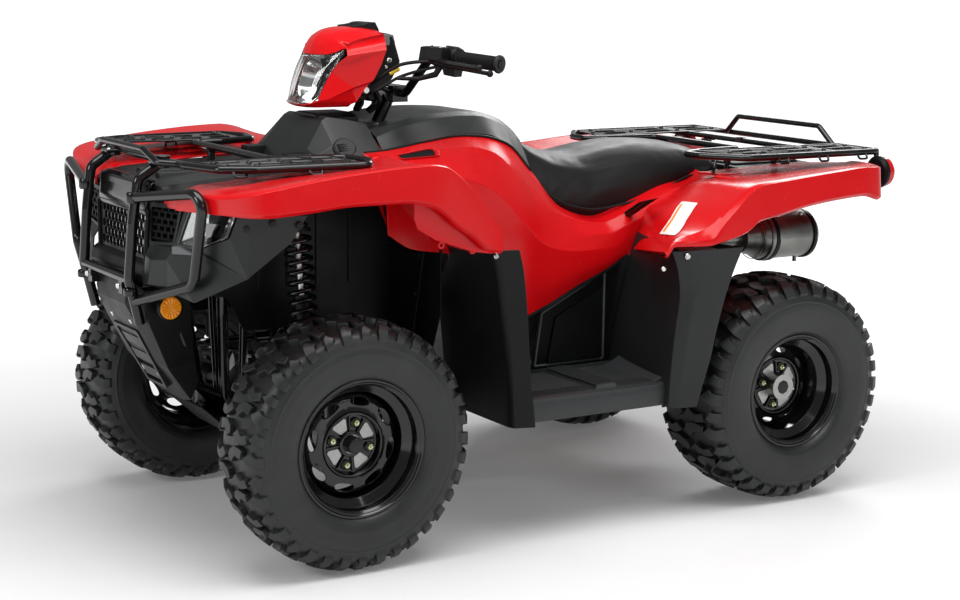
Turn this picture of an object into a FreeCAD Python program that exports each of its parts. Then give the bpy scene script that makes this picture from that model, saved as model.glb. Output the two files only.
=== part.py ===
import FreeCAD, Part
import Sketcher
import math
import os

# Utility quad bike with racks, solid rear axle and independent front suspension.
# Millimetres. +X forward, +Y to the rider's left, +Z up, origin on the ground at mid length.

os.makedirs("parts", exist_ok=True)
doc = FreeCAD.newDocument("quad_bike")

# Driving dimensions. Each one is a cell of the sheet with its own name.
SIZES = [
    ("wheelbase", 1294), ("front_overhang", 415.5), ("rear_overhang", 415.5),
    ("tyre_radius", 300), ("tyre_wall", 9), ("tread_depth", 12), ("lug_length", 34),
    ("front_lug_count", 14), ("rear_lug_count", 12),
    ("front_track", 934), ("front_tyre_width", 205), ("front_rim_width", 180),
    ("front_flange_radius", 166), ("front_dish_offset", 38),
    ("rear_track", 928), ("rear_tyre_width", 250), ("rear_rim_width", 216),
    ("rear_flange_radius", 153), ("rear_dish_offset", 38),
    ("rim_sheet", 3), ("rim_slot_count", 8), ("rim_slot_length", 30), ("rim_slot_width", 13),
    ("hub_radius", 70), ("hub_length", 40),
    ("seat_gap", 0.3), ("panel_wall", 4),
    ("frame_tube", 14), ("brace_tube", 10), ("rail_height", 262), ("rail_spread", 105),
    ("rail_front_spread", 70), ("top_rail_spread", 118), ("top_rail_front_height", 818),
    ("top_rail_rear_height", 790), ("seat_rail_height", 690),
    ("engine_length", 500), ("engine_width", 280), ("engine_height", 245),
    ("cylinder_length", 170), ("cylinder_width", 150), ("cylinder_height", 150),
    ("diff_radius", 58), ("diff_width", 200),
    ("arm_tube", 12), ("arm_sleeve", 15), ("pivot_pin", 6),
    ("kingpin_offset", 392), ("kingpin_radius", 10),
    ("shock_body", 21), ("shock_spring", 33),
    ("swingarm_pivot_height", 345), ("axle_shaft", 17), ("axle_housing", 36),
    ("skid_plate_width", 250), ("plate_thickness", 4),
    ("guard_tube", 12.5), ("guard_upright_spread", 150), ("guard_loop_spread", 436),
    ("rack_tube", 9), ("rack_plate", 3),
    ("fender_crest", 588),
    ("seat_width", 340),
    ("bar_radius", 11.1), ("grip_radius", 16.5), ("grip_length", 122), ("bar_half_width", 408),
    ("rake_degrees", 27), ("stem_radius", 17),
    ("muffler_radius", 67), ("pipe_radius", 19),
    ("lamp_radius", 38), ("reflector_radius", 27),
    ("hitch_bore", 10), ("hitch_plate", 10),
]
sheet = doc.addObject("Spreadsheet::Sheet", "sizes")
for row, (name, value) in enumerate(SIZES, start=1):
    sheet.set("A%d" % row, name)
    sheet.set("B%d" % row, str(value))
    sheet.setAlias("B%d" % row, name)
doc.recompute()


def size(name):
    return float(sheet.get(name))


# The pieces are drawn for this wheelbase and these overhangs, and along() takes a drawn place to the set ones:
# what is by an axle moves with it, the middle stretches between them, and the ends follow the overhangs.
DRAWN_WHEELBASE = 1294
DRAWN_OVERHANG = 415.5
DRAWN_END = DRAWN_WHEELBASE / 2 + DRAWN_OVERHANG
MIDDLE_REACH = 180
END_FROM = 700
END_TO = 960
wheelbase_change = (size("wheelbase") - DRAWN_WHEELBASE) / 2
overhang_change = {1: size("front_overhang") - DRAWN_OVERHANG, -1: size("rear_overhang") - DRAWN_OVERHANG}


def along(x):
    side = 1 if x > 0 else -1
    reach = abs(x)
    by_wheelbase = wheelbase_change * min(1, reach / MIDDLE_REACH)
    by_overhang = overhang_change[side] * min(1, max(0, reach - END_FROM) / (END_TO - END_FROM))
    return x + side * (by_wheelbase + by_overhang)


def point(place):
    return FreeCAD.Vector(along(place[0]), place[1], place[2])


def other_side(places):
    return [(x, -y, z) for x, y, z in places]


def closed_wire(places):
    corners = [point(p) for p in places]
    return Part.makePolygon(corners + corners[:1])


def rod(start, end, radius):
    way = point(end) - point(start)
    return Part.makeCylinder(radius, way.Length, point(start), way)


def tube(places, radius, bend=60):
    # Straight runs joined by tangent bends, all of one bend radius.
    corners = [point(p) for p in places]
    runs = []
    start = corners[0]
    for before, corner, after in zip(corners, corners[1:], corners[2:]):
        back = (before - corner).normalize()
        ahead = (after - corner).normalize()
        opening = back.getAngle(ahead)
        reach = bend / math.tan(opening / 2)
        first = corner + back * reach
        centre = corner + (back + ahead).normalize() * (bend / math.sin(opening / 2))
        section = Part.Face(Part.Wire(Part.makeCircle(radius, first, back)))
        runs.append(Part.makeCylinder(radius, (first - start).Length, start, first - start))
        runs.append(section.revolve(centre, ahead.cross(back), 180 - math.degrees(opening)))
        start = corner + ahead * reach
    runs.append(Part.makeCylinder(radius, (corners[-1] - start).Length, start, corners[-1] - start))
    return fused(runs)


def box(low, high):
    span = point(high) - point(low)
    return Part.makeBox(span.x, span.y, span.z, point(low))


def fused(shapes):
    return shapes[0].fuse(shapes[1:]).removeSplitter()


def butted(piece, neighbours):
    # The piece trimmed where it meets its neighbours, so that they touch face to face.
    rest = piece.cut(neighbours)
    return max(rest.Solids, key=lambda solid: solid.Volume)


def stay(start, end, radius, neighbours):
    # A rod from a tube of the frame up to just short of the first face it meets.
    back = (point(start) - point(end)).normalize() * size("seat_gap")
    nearer = [piece.translated(back) for piece in neighbours]
    rest = rod(start, end, radius).cut(neighbours + nearer)
    foot = Part.Vertex(point(start))
    return min(rest.Solids, key=lambda solid: solid.distToShape(foot)[0])


def mirrored(shape):
    return shape.mirror(point((0, 0, 0)), point((0, 1, 0)))


def pair(shape):
    return Part.makeCompound([shape, mirrored(shape)])


def offset_line(line, wall):
    # The open outline moved to its left by the wall, with mitred corners.
    runs = []
    for one, two in zip(line, line[1:]):
        length = math.hypot(two[0] - one[0], two[1] - one[1])
        runs.append(((one[1] - two[1]) / length, (two[0] - one[0]) / length))
    normals = [runs[0]] + [(a[0] + b[0], a[1] + b[1]) for a, b in zip(runs, runs[1:])] + [runs[-1]]
    moved = []
    for corner, normal, run in zip(line, normals, runs + [runs[-1]]):
        reach = wall / max(0.35, normal[0] * run[0] + normal[1] * run[1])
        moved.append((corner[0] + normal[0] * reach, corner[1] + normal[1] * reach))
    return moved


SPREAD = {
    "x": lambda t, a, b: (t, a, b),
    "y": lambda t, a, b: (a, t, b),
    "z": lambda t, a, b: (a, b, t),
}


def loft(outlines):
    return Part.makeLoft([closed_wire(places) for places in outlines], True, True)


def solid_loft(axis, stations):
    # Stations across one axis, each a closed outline of the other two coordinates.
    return loft([[SPREAD[axis](t, a, b) for a, b in line] for t, line in stations])


def panel(axis, stations, wall):
    # A sheet: each station's open line thickened to its left by the wall.
    bands = []
    for t, line in stations:
        band = list(line) + offset_line(line, wall)[::-1]
        bands.append((t, band))
    return solid_loft(axis, bands)


def plate(axis, start, thickness, outline):
    # A flat plate: a closed outline in the plane across the axis, from start by the thickness.
    face = Part.Face(closed_wire([SPREAD[axis](start, a, b) for a, b in outline]))
    return face.extrude(point(SPREAD[axis](start + thickness, 0, 0)) - point(SPREAD[axis](start, 0, 0)))


nodes = []


def add(label, shape, place=(0, 0, 0)):
    item = doc.addObject("Part::Feature", label)
    item.Label = label
    item.Shape = shape
    item.Placement = FreeCAD.Placement(point(place), FreeCAD.Rotation())
    nodes.append(item)
    return item


def add_body(label):
    body = doc.addObject("PartDesign::Body", label)
    body.Label = label
    nodes.append(body)
    return body


def origin_plane(body, role):
    return [item for item in body.Origin.OriginFeatures if item.Role == role][0]


def sketch_on(body, name, role):
    sketch = body.newObject("Sketcher::SketchObject", name)
    sketch.AttachmentSupport = [(origin_plane(body, role), "")]
    sketch.MapMode = "FlatFace"
    return sketch


def draw_polygon(sketch, corners):
    count = len(corners)
    for one, two in zip(corners, corners[1:] + corners[:1]):
        sketch.addGeometry(Part.LineSegment(FreeCAD.Vector(one[0], one[1], 0),
                                            FreeCAD.Vector(two[0], two[1], 0)))
    first = sketch.GeometryCount - count
    for index in range(count):
        sketch.addConstraint(Sketcher.Constraint("Coincident", first + index, 2,
                                                 first + (index + 1) % count, 1))


def bind_polygon(sketch, corners):
    # A closed outline whose corners are pairs of expressions on the sheet's cells.
    count = len(corners)
    for index in range(count):
        turn = 2 * math.pi * index / count
        after = 2 * math.pi * (index + 1) / count
        sketch.addGeometry(Part.LineSegment(
            FreeCAD.Vector(300 + 100 * math.cos(turn), 100 * math.sin(turn), 0),
            FreeCAD.Vector(300 + 100 * math.cos(after), 100 * math.sin(after), 0)))
    for index in range(count):
        sketch.addConstraint(Sketcher.Constraint("Coincident", index, 2, (index + 1) % count, 1))
    for index, expressions in enumerate(corners):
        for kind, expression in zip(("DistanceX", "DistanceY"), expressions):
            number = sketch.addConstraint(Sketcher.Constraint(kind, -1, 1, index, 1, 10.0))
            sketch.setExpression("Constraints[%d]" % number, expression)


def revolve(body, sketch):
    turned = body.newObject("PartDesign::Revolution", body.Label + "_turned")
    turned.Profile = sketch
    turned.ReferenceAxis = (sketch, ["V_Axis"])
    turned.Angle = 360
    return turned


# Where the wheels stand
front_axle_x = DRAWN_WHEELBASE / 2
rear_axle_x = -front_axle_x
axle_z = size("tyre_radius")
front_wheel_y = size("front_track") / 2
rear_wheel_y = size("rear_track") / 2


def wheel_place(x, y, side):
    # The piece's own +Y points out of the vehicle on both sides.
    turn = FreeCAD.Rotation(FreeCAD.Vector(0, 0, 1), 0 if side > 0 else 180)
    return FreeCAD.Placement(point((x, side * y, axle_z)), turn)


def tyre(label, width, rim_width, flange):
    # Section of the carcass from the outer bead over the crown to the inner bead.
    body = doc.addObject("PartDesign::Body", label)
    body.Label = label
    sketch = sketch_on(body, label + "_section", "XY_Plane")
    half = "sizes.%s / 2" % width
    bead = "sizes.%s - 13.7" % flange
    bead_face = "sizes.%s / 2 - sizes.rim_sheet - sizes.seat_gap" % rim_width
    radius = "sizes.tyre_radius"
    wall = "sizes.tyre_wall"
    outer = [
        (bead, bead_face),
        ("sizes.%s + 1.5" % flange, bead_face),
        ("sizes.%s + 14" % flange, "(%s) * 0.93" % half),
        ("%s - 62" % radius, half),
        ("%s - 14 - sizes.tread_depth" % radius, "(%s) * 0.9" % half),
        ("%s - sizes.tread_depth" % radius, "(%s) * 0.6" % half),
    ]
    inner = [
        ("%s - 20 - %s" % (radius, wall), "(%s) * 0.62" % half),
        ("%s - 62" % radius, "%s - %s" % (half, wall)),
        ("sizes.%s + 14" % flange, "(%s) * 0.93 - %s" % (half, wall)),
        (bead, "%s - 16" % bead_face),
    ]
    corners = outer + [(r, "-(%s)" % y) for r, y in outer[::-1]]
    corners += [(r, "-(%s)" % y) for r, y in inner[::-1]] + inner
    bind_polygon(sketch, corners)
    revolve(body, sketch)
    doc.recompute()
    return body.Shape


def lugs(width, count, skew):
    # Bars from beside the crown's middle to the shoulder, in turn on one side and the other.
    half = size(width) / 2
    long = size("lug_length")
    turned_aside = math.sin(math.radians(skew)) * half * 0.5 + long / 2
    top = math.sqrt(size("tyre_radius") ** 2 - turned_aside ** 2)
    depth = size("tread_depth")
    section = [(top - depth - 8, 7), (top, 7), (top, half * 0.5), (top - 6, half * 0.8), (top - 24, half * 0.97),
               (top - 66, half + 1), (top - 70, half * 0.9), (top - 40, half * 0.8)]
    corners = [FreeCAD.Vector(r, y, -long / 2) for r, y in section]
    bar = Part.Face(Part.makePolygon(corners + corners[:1])).extrude(FreeCAD.Vector(0, 0, long))
    bar.rotate(FreeCAD.Vector(0, half / 2, 0), FreeCAD.Vector(1, 0, 0), skew)
    other = bar.mirror(FreeCAD.Vector(0, 0, 0), FreeCAD.Vector(0, 1, 0))
    # One corner of a bar points straight down, so the tyre stands on the ground
    first = 90 - math.degrees(math.atan2(turned_aside, top))
    made = []
    for index in range(count):
        for shape, share in ((bar, 0), (other, 0.5)):
            turned = shape.copy()
            turned.rotate(FreeCAD.Vector(0, 0, 0), FreeCAD.Vector(0, 1, 0), first + 360 * (index + share) / count)
            made.append(turned)
    return made


def rim(label, rim_width, flange, dish_offset):
    # Pressed sheet: flanges, bead seats, drop centre, and a dish with slots.
    body = doc.addObject("PartDesign::Body", label)
    body.Label = label
    sketch = sketch_on(body, label + "_section", "XY_Plane")
    edge = "sizes.%s / 2" % rim_width
    lip = "sizes.%s" % flange
    sheet_wall = "sizes.rim_sheet"
    seat = "sizes.%s - 14" % flange
    well = "sizes.%s - 36" % flange
    dish = "sizes.%s" % dish_offset
    corners = [
        (lip, edge), (lip, "%s - %s" % (edge, sheet_wall)), (seat, "%s - %s" % (edge, sheet_wall)),
        (seat, "%s - 34" % edge), (well, "%s - 50" % edge),
        (well, "-(%s) + 50" % edge), (seat, "-(%s) + 34" % edge),
        (seat, "-(%s) + %s" % (edge, sheet_wall)), (lip, "-(%s) + %s" % (edge, sheet_wall)),
        (lip, "-(%s)" % edge),
        ("%s - %s" % (seat, sheet_wall), "-(%s)" % edge),
        ("%s - %s" % (seat, sheet_wall), "-(%s) + 34 - %s" % (edge, sheet_wall)),
        ("%s - %s" % (well, sheet_wall), "-(%s) + 50" % edge),
        ("%s - %s" % (well, sheet_wall), "%s - 26 - %s" % (dish, sheet_wall)),
        ("%s - 22" % well, "%s - %s" % (dish, sheet_wall)),
        ("sizes.hub_radius", "%s - 12 - %s" % (dish, sheet_wall)),
        ("sizes.hub_radius / 2", "%s - 12 - %s" % (dish, sheet_wall)),
        ("sizes.hub_radius / 2", "%s - 12" % dish),
        ("sizes.hub_radius", "%s - 12" % dish),
        ("%s - 22" % well, dish),
        ("%s - %s" % (well, sheet_wall), "%s - 26" % dish),
        ("%s - %s" % (well, sheet_wall), "%s - 50" % edge),
        ("%s - %s" % (seat, sheet_wall), "%s - 34 + %s" % (edge, sheet_wall)),
        ("%s - %s" % (seat, sheet_wall), edge),
    ]
    bind_polygon(sketch, corners)
    revolve(body, sketch)
    doc.recompute()
    return body.Shape


def rim_slots(flange, dish_offset):
    # Slots in the cone of the dish, each with its length along the circle.
    middle = (size(flange) - 58 + size("hub_radius")) / 2 + 4
    count = int(size("rim_slot_count"))
    long = size("rim_slot_length")
    wide = size("rim_slot_width")
    slots = []
    for index in range(count):
        slot = Part.makeBox(wide, 60, long, FreeCAD.Vector(middle - wide / 2, size(dish_offset) - 40, -long / 2))
        slot.rotate(FreeCAD.Vector(0, 0, 0), FreeCAD.Vector(0, 1, 0), 360 * index / count)
        slots.append(slot)
    return slots


for end, axle_x, wheel_y, skew in (("front", front_axle_x, front_wheel_y, 16), ("rear", rear_axle_x, rear_wheel_y, 20)):
    carcass = tyre("carcass_" + end, end + "_tyre_width", end + "_rim_width", end + "_flange_radius")
    whole_tyre = carcass.fuse(lugs(end + "_tyre_width", int(size(end + "_lug_count")), skew))
    pressing = rim("pressing_" + end, end + "_rim_width", end + "_flange_radius", end + "_dish_offset")
    whole_rim = pressing.cut(rim_slots(end + "_flange_radius", end + "_dish_offset"))
    for side, name in ((1, "left"), (-1, "right")):
        piece = add("tyre_%s_%s" % (end, name), whole_tyre)
        piece.Placement = wheel_place(axle_x, wheel_y, side)
        piece = add("rim_%s_%s" % (end, name), whole_rim)
        piece.Placement = wheel_place(axle_x, wheel_y, side)

gap = size("seat_gap")
wall = size("panel_wall")
post_r = size("kingpin_radius") + 4
knuckle_y = size("kingpin_offset")
lower_ball_z = axle_z - 88
upper_ball_z = axle_z + 88
rake = math.radians(size("rake_degrees"))
stem_up = FreeCAD.Vector(-math.sin(rake), 0, math.cos(rake))
stem_foot = FreeCAD.Vector(602, 0, 424)


def on_stem(along):
    place = stem_foot + stem_up * along
    return (place.x, place.y, place.z)


def stem_rod(start, end, radius):
    return rod(on_stem(start), on_stem(end), radius)

# Hubs of the front wheels, on the knuckles' spindles
dish_face = size("front_dish_offset") - 12 - size("rim_sheet")
for side, name in ((1, "left"), (-1, "right")):
    face = front_wheel_y + dish_face - size("seat_gap")
    disc = rod((0, face - 12, 0), (0, face, 0), size("hub_radius"))
    nose = rod((0, face, 0), (0, face + 34, 0), size("hub_radius") / 2 - size("seat_gap"))
    neck = rod((0, face - size("hub_length"), 0), (0, face - 12, 0), 36)
    bore = rod((0, face - size("hub_length") - 1, 0), (0, face + 20, 0), 14)
    hub = fused([disc, nose, neck]).cut(bore)
    add("hub_front_" + name, hub if side > 0 else mirrored(hub), (front_axle_x, 0, axle_z))

# Rear axle: one shaft from hub to hub, turning with both rear wheels
rear_dish_face = size("rear_dish_offset") - 12 - size("rim_sheet")
rear_face = rear_wheel_y + rear_dish_face - size("seat_gap")
shaft = rod((0, -rear_face, 0), (0, rear_face, 0), size("axle_shaft"))
ends = []
for side in (1, -1):
    ends.append(rod((0, side * (rear_face - 12), 0), (0, side * rear_face, 0), size("hub_radius")))
    ends.append(rod((0, side * rear_face, 0), (0, side * (rear_face + 34), 0),
                    size("hub_radius") / 2 - size("seat_gap")))
    ends.append(rod((0, side * (rear_face - 70), 0), (0, side * (rear_face - 12), 0), 34))
add("rear_axle", fused([shaft] + ends), (rear_axle_x, 0, axle_z))


# Steering knuckles: a post between the arms' balls, a spindle for the hub and the steering arm
spindle_end = front_wheel_y + dish_face
arm_end = (587, 372, 372)
post = rod((front_axle_x, knuckle_y, lower_ball_z - 12), (front_axle_x, knuckle_y, upper_ball_z + 12),
           post_r)
spindle = rod((front_axle_x, knuckle_y, axle_z), (front_axle_x, spindle_end, axle_z), 13)
carrier = rod((front_axle_x, knuckle_y - 8, axle_z), (front_axle_x, knuckle_y + 22, axle_z), 44)
steer_arm = fused([rod((front_axle_x, knuckle_y, arm_end[2] - 17), (arm_end[0], arm_end[1], arm_end[2] - 17), 8),
                   rod((arm_end[0], arm_end[1], arm_end[2] - 24),
                       (arm_end[0], arm_end[1], arm_end[2] - 8.5), 9)])
knuckle = fused([post, spindle, carrier, steer_arm])
add("knuckle_left", knuckle)
add("knuckle_right", mirrored(knuckle))

# Tie rods from the pitman plate under the stem to the knuckles' arms
pitman_reach = 51
pitman_side = 30
plate_back = FreeCAD.Vector(-math.cos(rake), 0, -math.sin(rake))
pitman_hole = stem_foot + plate_back * pitman_reach
rod_end = pitman_hole - stem_up * (4 + 11.5)
inner_ball = (rod_end.x, pitman_side, rod_end.z)
tie_rod = fused([rod(inner_ball, arm_end, 6.5), Part.makeSphere(10, point(inner_ball)),
                 rod((arm_end[0], arm_end[1], arm_end[2] - 8), (arm_end[0], arm_end[1], arm_end[2] + 9), 12)])
add("tie_rod_left", tie_rod)
add("tie_rod_right", mirrored(tie_rod))

# Steering stem with the pitman plate at its foot and the bar clamp on top
clamp_along = 735
pitman_outline = [(-22, -24), (22, -24), (pitman_side + 12, pitman_reach + 10), (-pitman_side - 12, pitman_reach + 10)]
pitman_corners = []
for across, back in pitman_outline:
    corner = stem_foot + plate_back * back + FreeCAD.Vector(0, across, 0) - stem_up * 4
    pitman_corners.append((corner.x, corner.y, corner.z))
pitman = Part.Face(closed_wire(pitman_corners)).extrude(stem_up * 8)
stem = fused([stem_rod(0, clamp_along - 12, size("stem_radius")), pitman])
clamp_place = on_stem(clamp_along)
clamp = box((clamp_place[0] - 22, -52, clamp_place[2] - 24), (clamp_place[0] + 22, 52, clamp_place[2] + 18))
bar_points = [(clamp_place[0], -60, clamp_place[2]), (clamp_place[0], 60, clamp_place[2])]
pod_arms = [rod((clamp_place[0] + 10, side * 34, clamp_place[2]), (410, side * 34, 1130), 7) for side in (1, -1)]
stem = fused([stem, clamp]).cut(rod(bar_points[0], bar_points[1], size("bar_radius") + size("seat_gap")))

# Handlebar, grips, and the levers with their switch housings
half_bar = [(clamp_place[0], 0, clamp_place[2]), (clamp_place[0], 78, clamp_place[2]),
            (274, 222, 1184), (196, size("bar_half_width"), 1169)]
bar = fused([tube(half_bar, size("bar_radius"), 40), mirrored(tube(half_bar, size("bar_radius"), 40))])
add("handlebar", bar)
grip_start = FreeCAD.Vector(*half_bar[2])
grip_reach = FreeCAD.Vector(*half_bar[3]) - grip_start
grip_way = FreeCAD.Vector(grip_reach).normalize()


def on_grip(along):
    place = grip_start + grip_way * along
    return (place.x, place.y, place.z)


bar_hole = size("bar_radius") + size("seat_gap")
grip_from = grip_reach.Length - size("grip_length") + 6
grip_to = grip_reach.Length + 5
grip = fused([rod(on_grip(grip_from), on_grip(grip_to), size("grip_radius")),
              rod(on_grip(grip_from), on_grip(grip_from + 5), size("grip_radius") + 5),
              rod(on_grip(grip_to - 5), on_grip(grip_to), size("grip_radius") + 5)])
grip = grip.cut(rod(on_grip(grip_from - 5), on_grip(grip_to - 4.7), bar_hole))
add("grips", pair(grip))


def control(with_thumb):
    # Clamp round the bar, a switch housing inboard of the grip and a lever ahead of it.
    start = grip_from - 46
    housing = rod(on_grip(start), on_grip(grip_from - 0.3), 24)
    perch = rod(on_grip(start - 20), on_grip(start), 17)
    x, y, z = on_grip(start + 8)
    lever = tube([(x + 16, y - 8, z), (x + 42, y + 4, z - 4), (x + 46, y + 70, z - 10), (x + 4, y + 150, z - 20)], 6.5, 16)
    parts = [housing, perch, lever, Part.makeSphere(9, point((x + 4, y + 150, z - 20)))]
    if with_thumb:
        parts.append(box((x - 30, y, z - 34), (x + 6, y + 22, z - 18)))
    return fused(parts).cut(rod(on_grip(start - 30), on_grip(grip_from + 5), bar_hole))


add("control_left", control(False))
add("control_right", mirrored(control(True)))

# Headlamp pod on the bar: red shell, lens in its face, dark cover behind
pod_side = [(556, 1046), (500, 1188), (474, 1224), (398, 1243), (352, 1250), (374, 1127), (430, 1050)]
pod_narrow = [(536, 1052), (484, 1182), (462, 1212), (398, 1230), (360, 1234), (380, 1127), (432, 1056)]


def pod_section(share):
    return [(a + (c - a) * share, b + (d - b) * share)
            for (a, b), (c, d) in zip(pod_side, pod_narrow)]


pod_body = solid_loft("y", [(-128, pod_section(1.9)), (-112, pod_section(0.8)), (-60, pod_section(0.1)),
                            (60, pod_section(0.1)), (112, pod_section(0.8)), (128, pod_section(1.9))])
lens_block = plate("x", 400, 200, [(-72, 1176), (-60, 1076), (60, 1076), (72, 1176)])
lens_room = pod_body.common(lens_block)
core = solid_loft("y", [(-140, [(a - 26, b - 8) for a, b in pod_side]), (140, [(a - 26, b - 8) for a, b in pod_side])])
lens = lens_room.cut(core)
gap = size("seat_gap")
lens_hole = plate("x", 400, 200, [(-72 - gap, 1176 + gap), (-60 - gap, 1076 - gap), (60 + gap, 1076 - gap),
                                  (72 + gap, 1176 + gap)]).common(pod_body).cut(
    core.copy())
pod_shell = pod_body.cut(lens_hole)
add("pod_shell", pod_shell)
add("pod_lens", lens)
cover_side = [(380, 1238), (400, 1126), (446, 1068), (400, 1066), (334, 1116), (303, 1163), (326, 1232)]
pod_cover = solid_loft("y", [(-96, cover_side), (96, cover_side)])
pod_cover = butted(pod_cover, [pod_body])
add("pod_cover", pod_cover)
stem = fused([stem] + pod_arms).cut([pod_cover, pod_body, rod(bar_points[0], bar_points[1], bar_hole)])
add("steering_stem", max(stem.Solids, key=lambda solid: solid.Volume))



def bumper_line(x, half, depth):
    return [(x - depth, -half - 4), (x - 12, -half), (x, -half + 14),
            (x, half - 14), (x - 12, half), (x - depth, half + 4)]


bumper = panel("z", [
    (342, bumper_line(874, 104, 60)),
    (470, bumper_line(945, 130, 100)),
    (584, bumper_line(1020, 150, 130)),
    (592, bumper_line(1024, 128, 130)),
    (650, bumper_line(1036, 128, 110))], wall)
add("front_bumper", bumper)

# Front guard: two uprights that lean back to the rack, and a loop round each headlamp
guard_r = size("guard_tube")
upright_y = size("guard_upright_spread")
loop_y = size("guard_loop_spread")
guard_front = DRAWN_END - guard_r
upright = tube([(962, upright_y + 4, 946), (1026, upright_y + 2, 905), (1040, upright_y, 800),
                (guard_front, upright_y - 2, 668), (1024, upright_y - 4, 560)], guard_r, 26)
loop = tube([(1039, upright_y, 862), (984, loop_y, 900), (984, loop_y - 62, 684),
             (1036, upright_y, 616)], guard_r, 34)
lower_bar = rod((guard_front, -upright_y, 668), (guard_front, upright_y, 668), guard_r - 2)
guard_lugs = [box((1031, s * 100 - 12, 628), (1054, s * 100 + 12, 668)) for s in (1, -1)]
guard_whole = fused([lower_bar, upright, loop, mirrored(upright), mirrored(loop)] + guard_lugs)

# Fascia: the dark front panel with cheeks, a grille opening and two lamp openings


def fascia_line(rear, corner, middle, centre):
    half = [rear, corner, middle, centre]
    return [(x, -y) for x, y in half] + [(x, y) for x, y in half[::-1]]


fascia_stations = [
    (655, fascia_line((903, 340), (952, 312), (996, 232), (1010, 165))),
    (700, fascia_line((870, 470), (940, 420), (1006, 250), (1016, 165))),
    (730, fascia_line((848, 482), (935, 438), (1002, 262), (1012, 165))),
    (790, fascia_line((802, 505), (925, 470), (990, 290), (1006, 165))),
    (858, fascia_line((760, 516), (910, 480), (975, 300), (990, 165)))]
fascia = panel("z", fascia_stations, wall)
grille_opening = plate("x", 900, 140, [(-140, 692), (140, 692), (152, 834), (-152, 834)])
lamp_outline = [(300, 772), (352, 764), (448, 800), (462, 850), (330, 850)]
lamp_prism = plate("x", 820, 240, lamp_outline)
lamp_slack = plate("x", 820, 240, [(y + dy, z + dz) for (y, z), (dy, dz) in zip(
    lamp_outline, [(-gap, -gap), (0, -2 * gap), (2 * gap, -gap), (2 * gap, gap), (-gap, gap)])])
vents = [box((900, 178, z), (1040, 270 + (z - 768) * 0.3, z + 8)) for z in range(768, 842, 15)]
fascia = fascia.cut([grille_opening, lamp_slack, mirrored(lamp_slack)] + vents + [mirrored(s) for s in vents])
lamp_stations = [(z, [(x + 4, y + 3 * (y > 0) - 3 * (y < 0)) for x, y in line]) for z, line in fascia_stations]
lamp_skin = panel("z", lamp_stations, 26)
headlamp = lamp_skin.common(lamp_prism)
add("fascia", fascia)
add("headlamps", pair(headlamp))

# Grille: a plate with six-sided cells across the opening, and the radiator behind it
grille_x = 994
cell = 17
cell_holes = []
for row, cell_z in enumerate((718, 749, 780, 811)):
    for column in range(-3, 4):
        cell_y = (column + (row % 2) * 0.5) * cell * 2.1
        if abs(cell_y) < 112:
            corners = [(cell_y + cell * math.sin(math.pi / 3 * k), cell_z + cell * math.cos(math.pi / 3 * k))
                       for k in range(6)]
            cell_holes.append(plate("x", grille_x - 1, 8, corners))
grille = plate("x", grille_x, 6, [(-146, 686), (146, 686), (158, 840), (-158, 840)]).cut(cell_holes)
grille = butted(grille, [fascia])
add("grille", grille)
add("radiator", box((814.3, -140, 660), (850, 140, 840)))

# Front fenders: flat top, sharp crest, folded lip, falling away behind the wheel
crest = size("fender_crest")
front_fender_stations = [
    (988, [(296, 850), (300, 872), (260, 871), (222, 866)]),
    (970, [(392, 855), (400, 884), (300, 883), (228, 874)]),
    (948, [(470, 858), (480, 890), (300, 887), (234, 879)]),
    (908, [(crest - 12, 864), (crest - 20, 909), (380, 900), (240, 890)]),
    (807, [(crest + 8, 870), (crest, 927), (400, 914), (236, 898)]),
    (680, [(crest + 10, 880), (crest + 2, 942), (400, 922), (236, 906)]),
    (560, [(crest + 12, 880), (crest + 4, 950), (400, 930), (240, 914)]),
    (490, [(crest + 12, 868), (crest + 4, 953), (400, 938), (244, 930)]),
    (425, [(crest + 8, 822), (crest, 932), (420, 930), (256, 940)]),
    (375, [(crest + 4, 790), (crest - 4, 890), (440, 888), (300, 900)]),
    (324, [(crest, 752), (crest - 8, 830), (460, 826), (330, 836)]),
    (284, [(crest - 4, 744), (crest - 12, 786), (480, 780), (340, 786)])]
front_fender = panel("x", front_fender_stations, wall)

# Hood between the front fenders, rising to the pod's foot
hood_stations = [
    (985, [(214, 866), (190, 886), (-190, 886), (-214, 866)]),
    (930, [(226, 878), (200, 892), (-200, 892), (-226, 878)]),
    (800, [(232, 886), (200, 902), (-200, 902), (-232, 886)]),
    (576, [(232, 904), (190, 908), (-190, 908), (-232, 904)]),
    (568, [(232, 904), (150, 948), (-150, 948), (-232, 904)]),
    (515, [(236, 912), (110, 1024), (-110, 1024), (-236, 912)]),
    (412, [(240, 926), (130, 1008), (-130, 1008), (-240, 926)])]
hood = panel("x", hood_stations, wall)
stem_slot = stem_rod(480, 800, 62)
rack_stay_x = 720
stay_y = size("top_rail_spread")
hood = hood.cut([stem_slot] + [rod((rack_stay_x, y, 800), (rack_stay_x, y, 930), 9) for y in (stay_y, -stay_y)])
caps = [rod((459, s * 206, 944), (464, s * 222, 960), 28) for s in (1, -1)]
hood = fused([hood] + caps)

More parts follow.
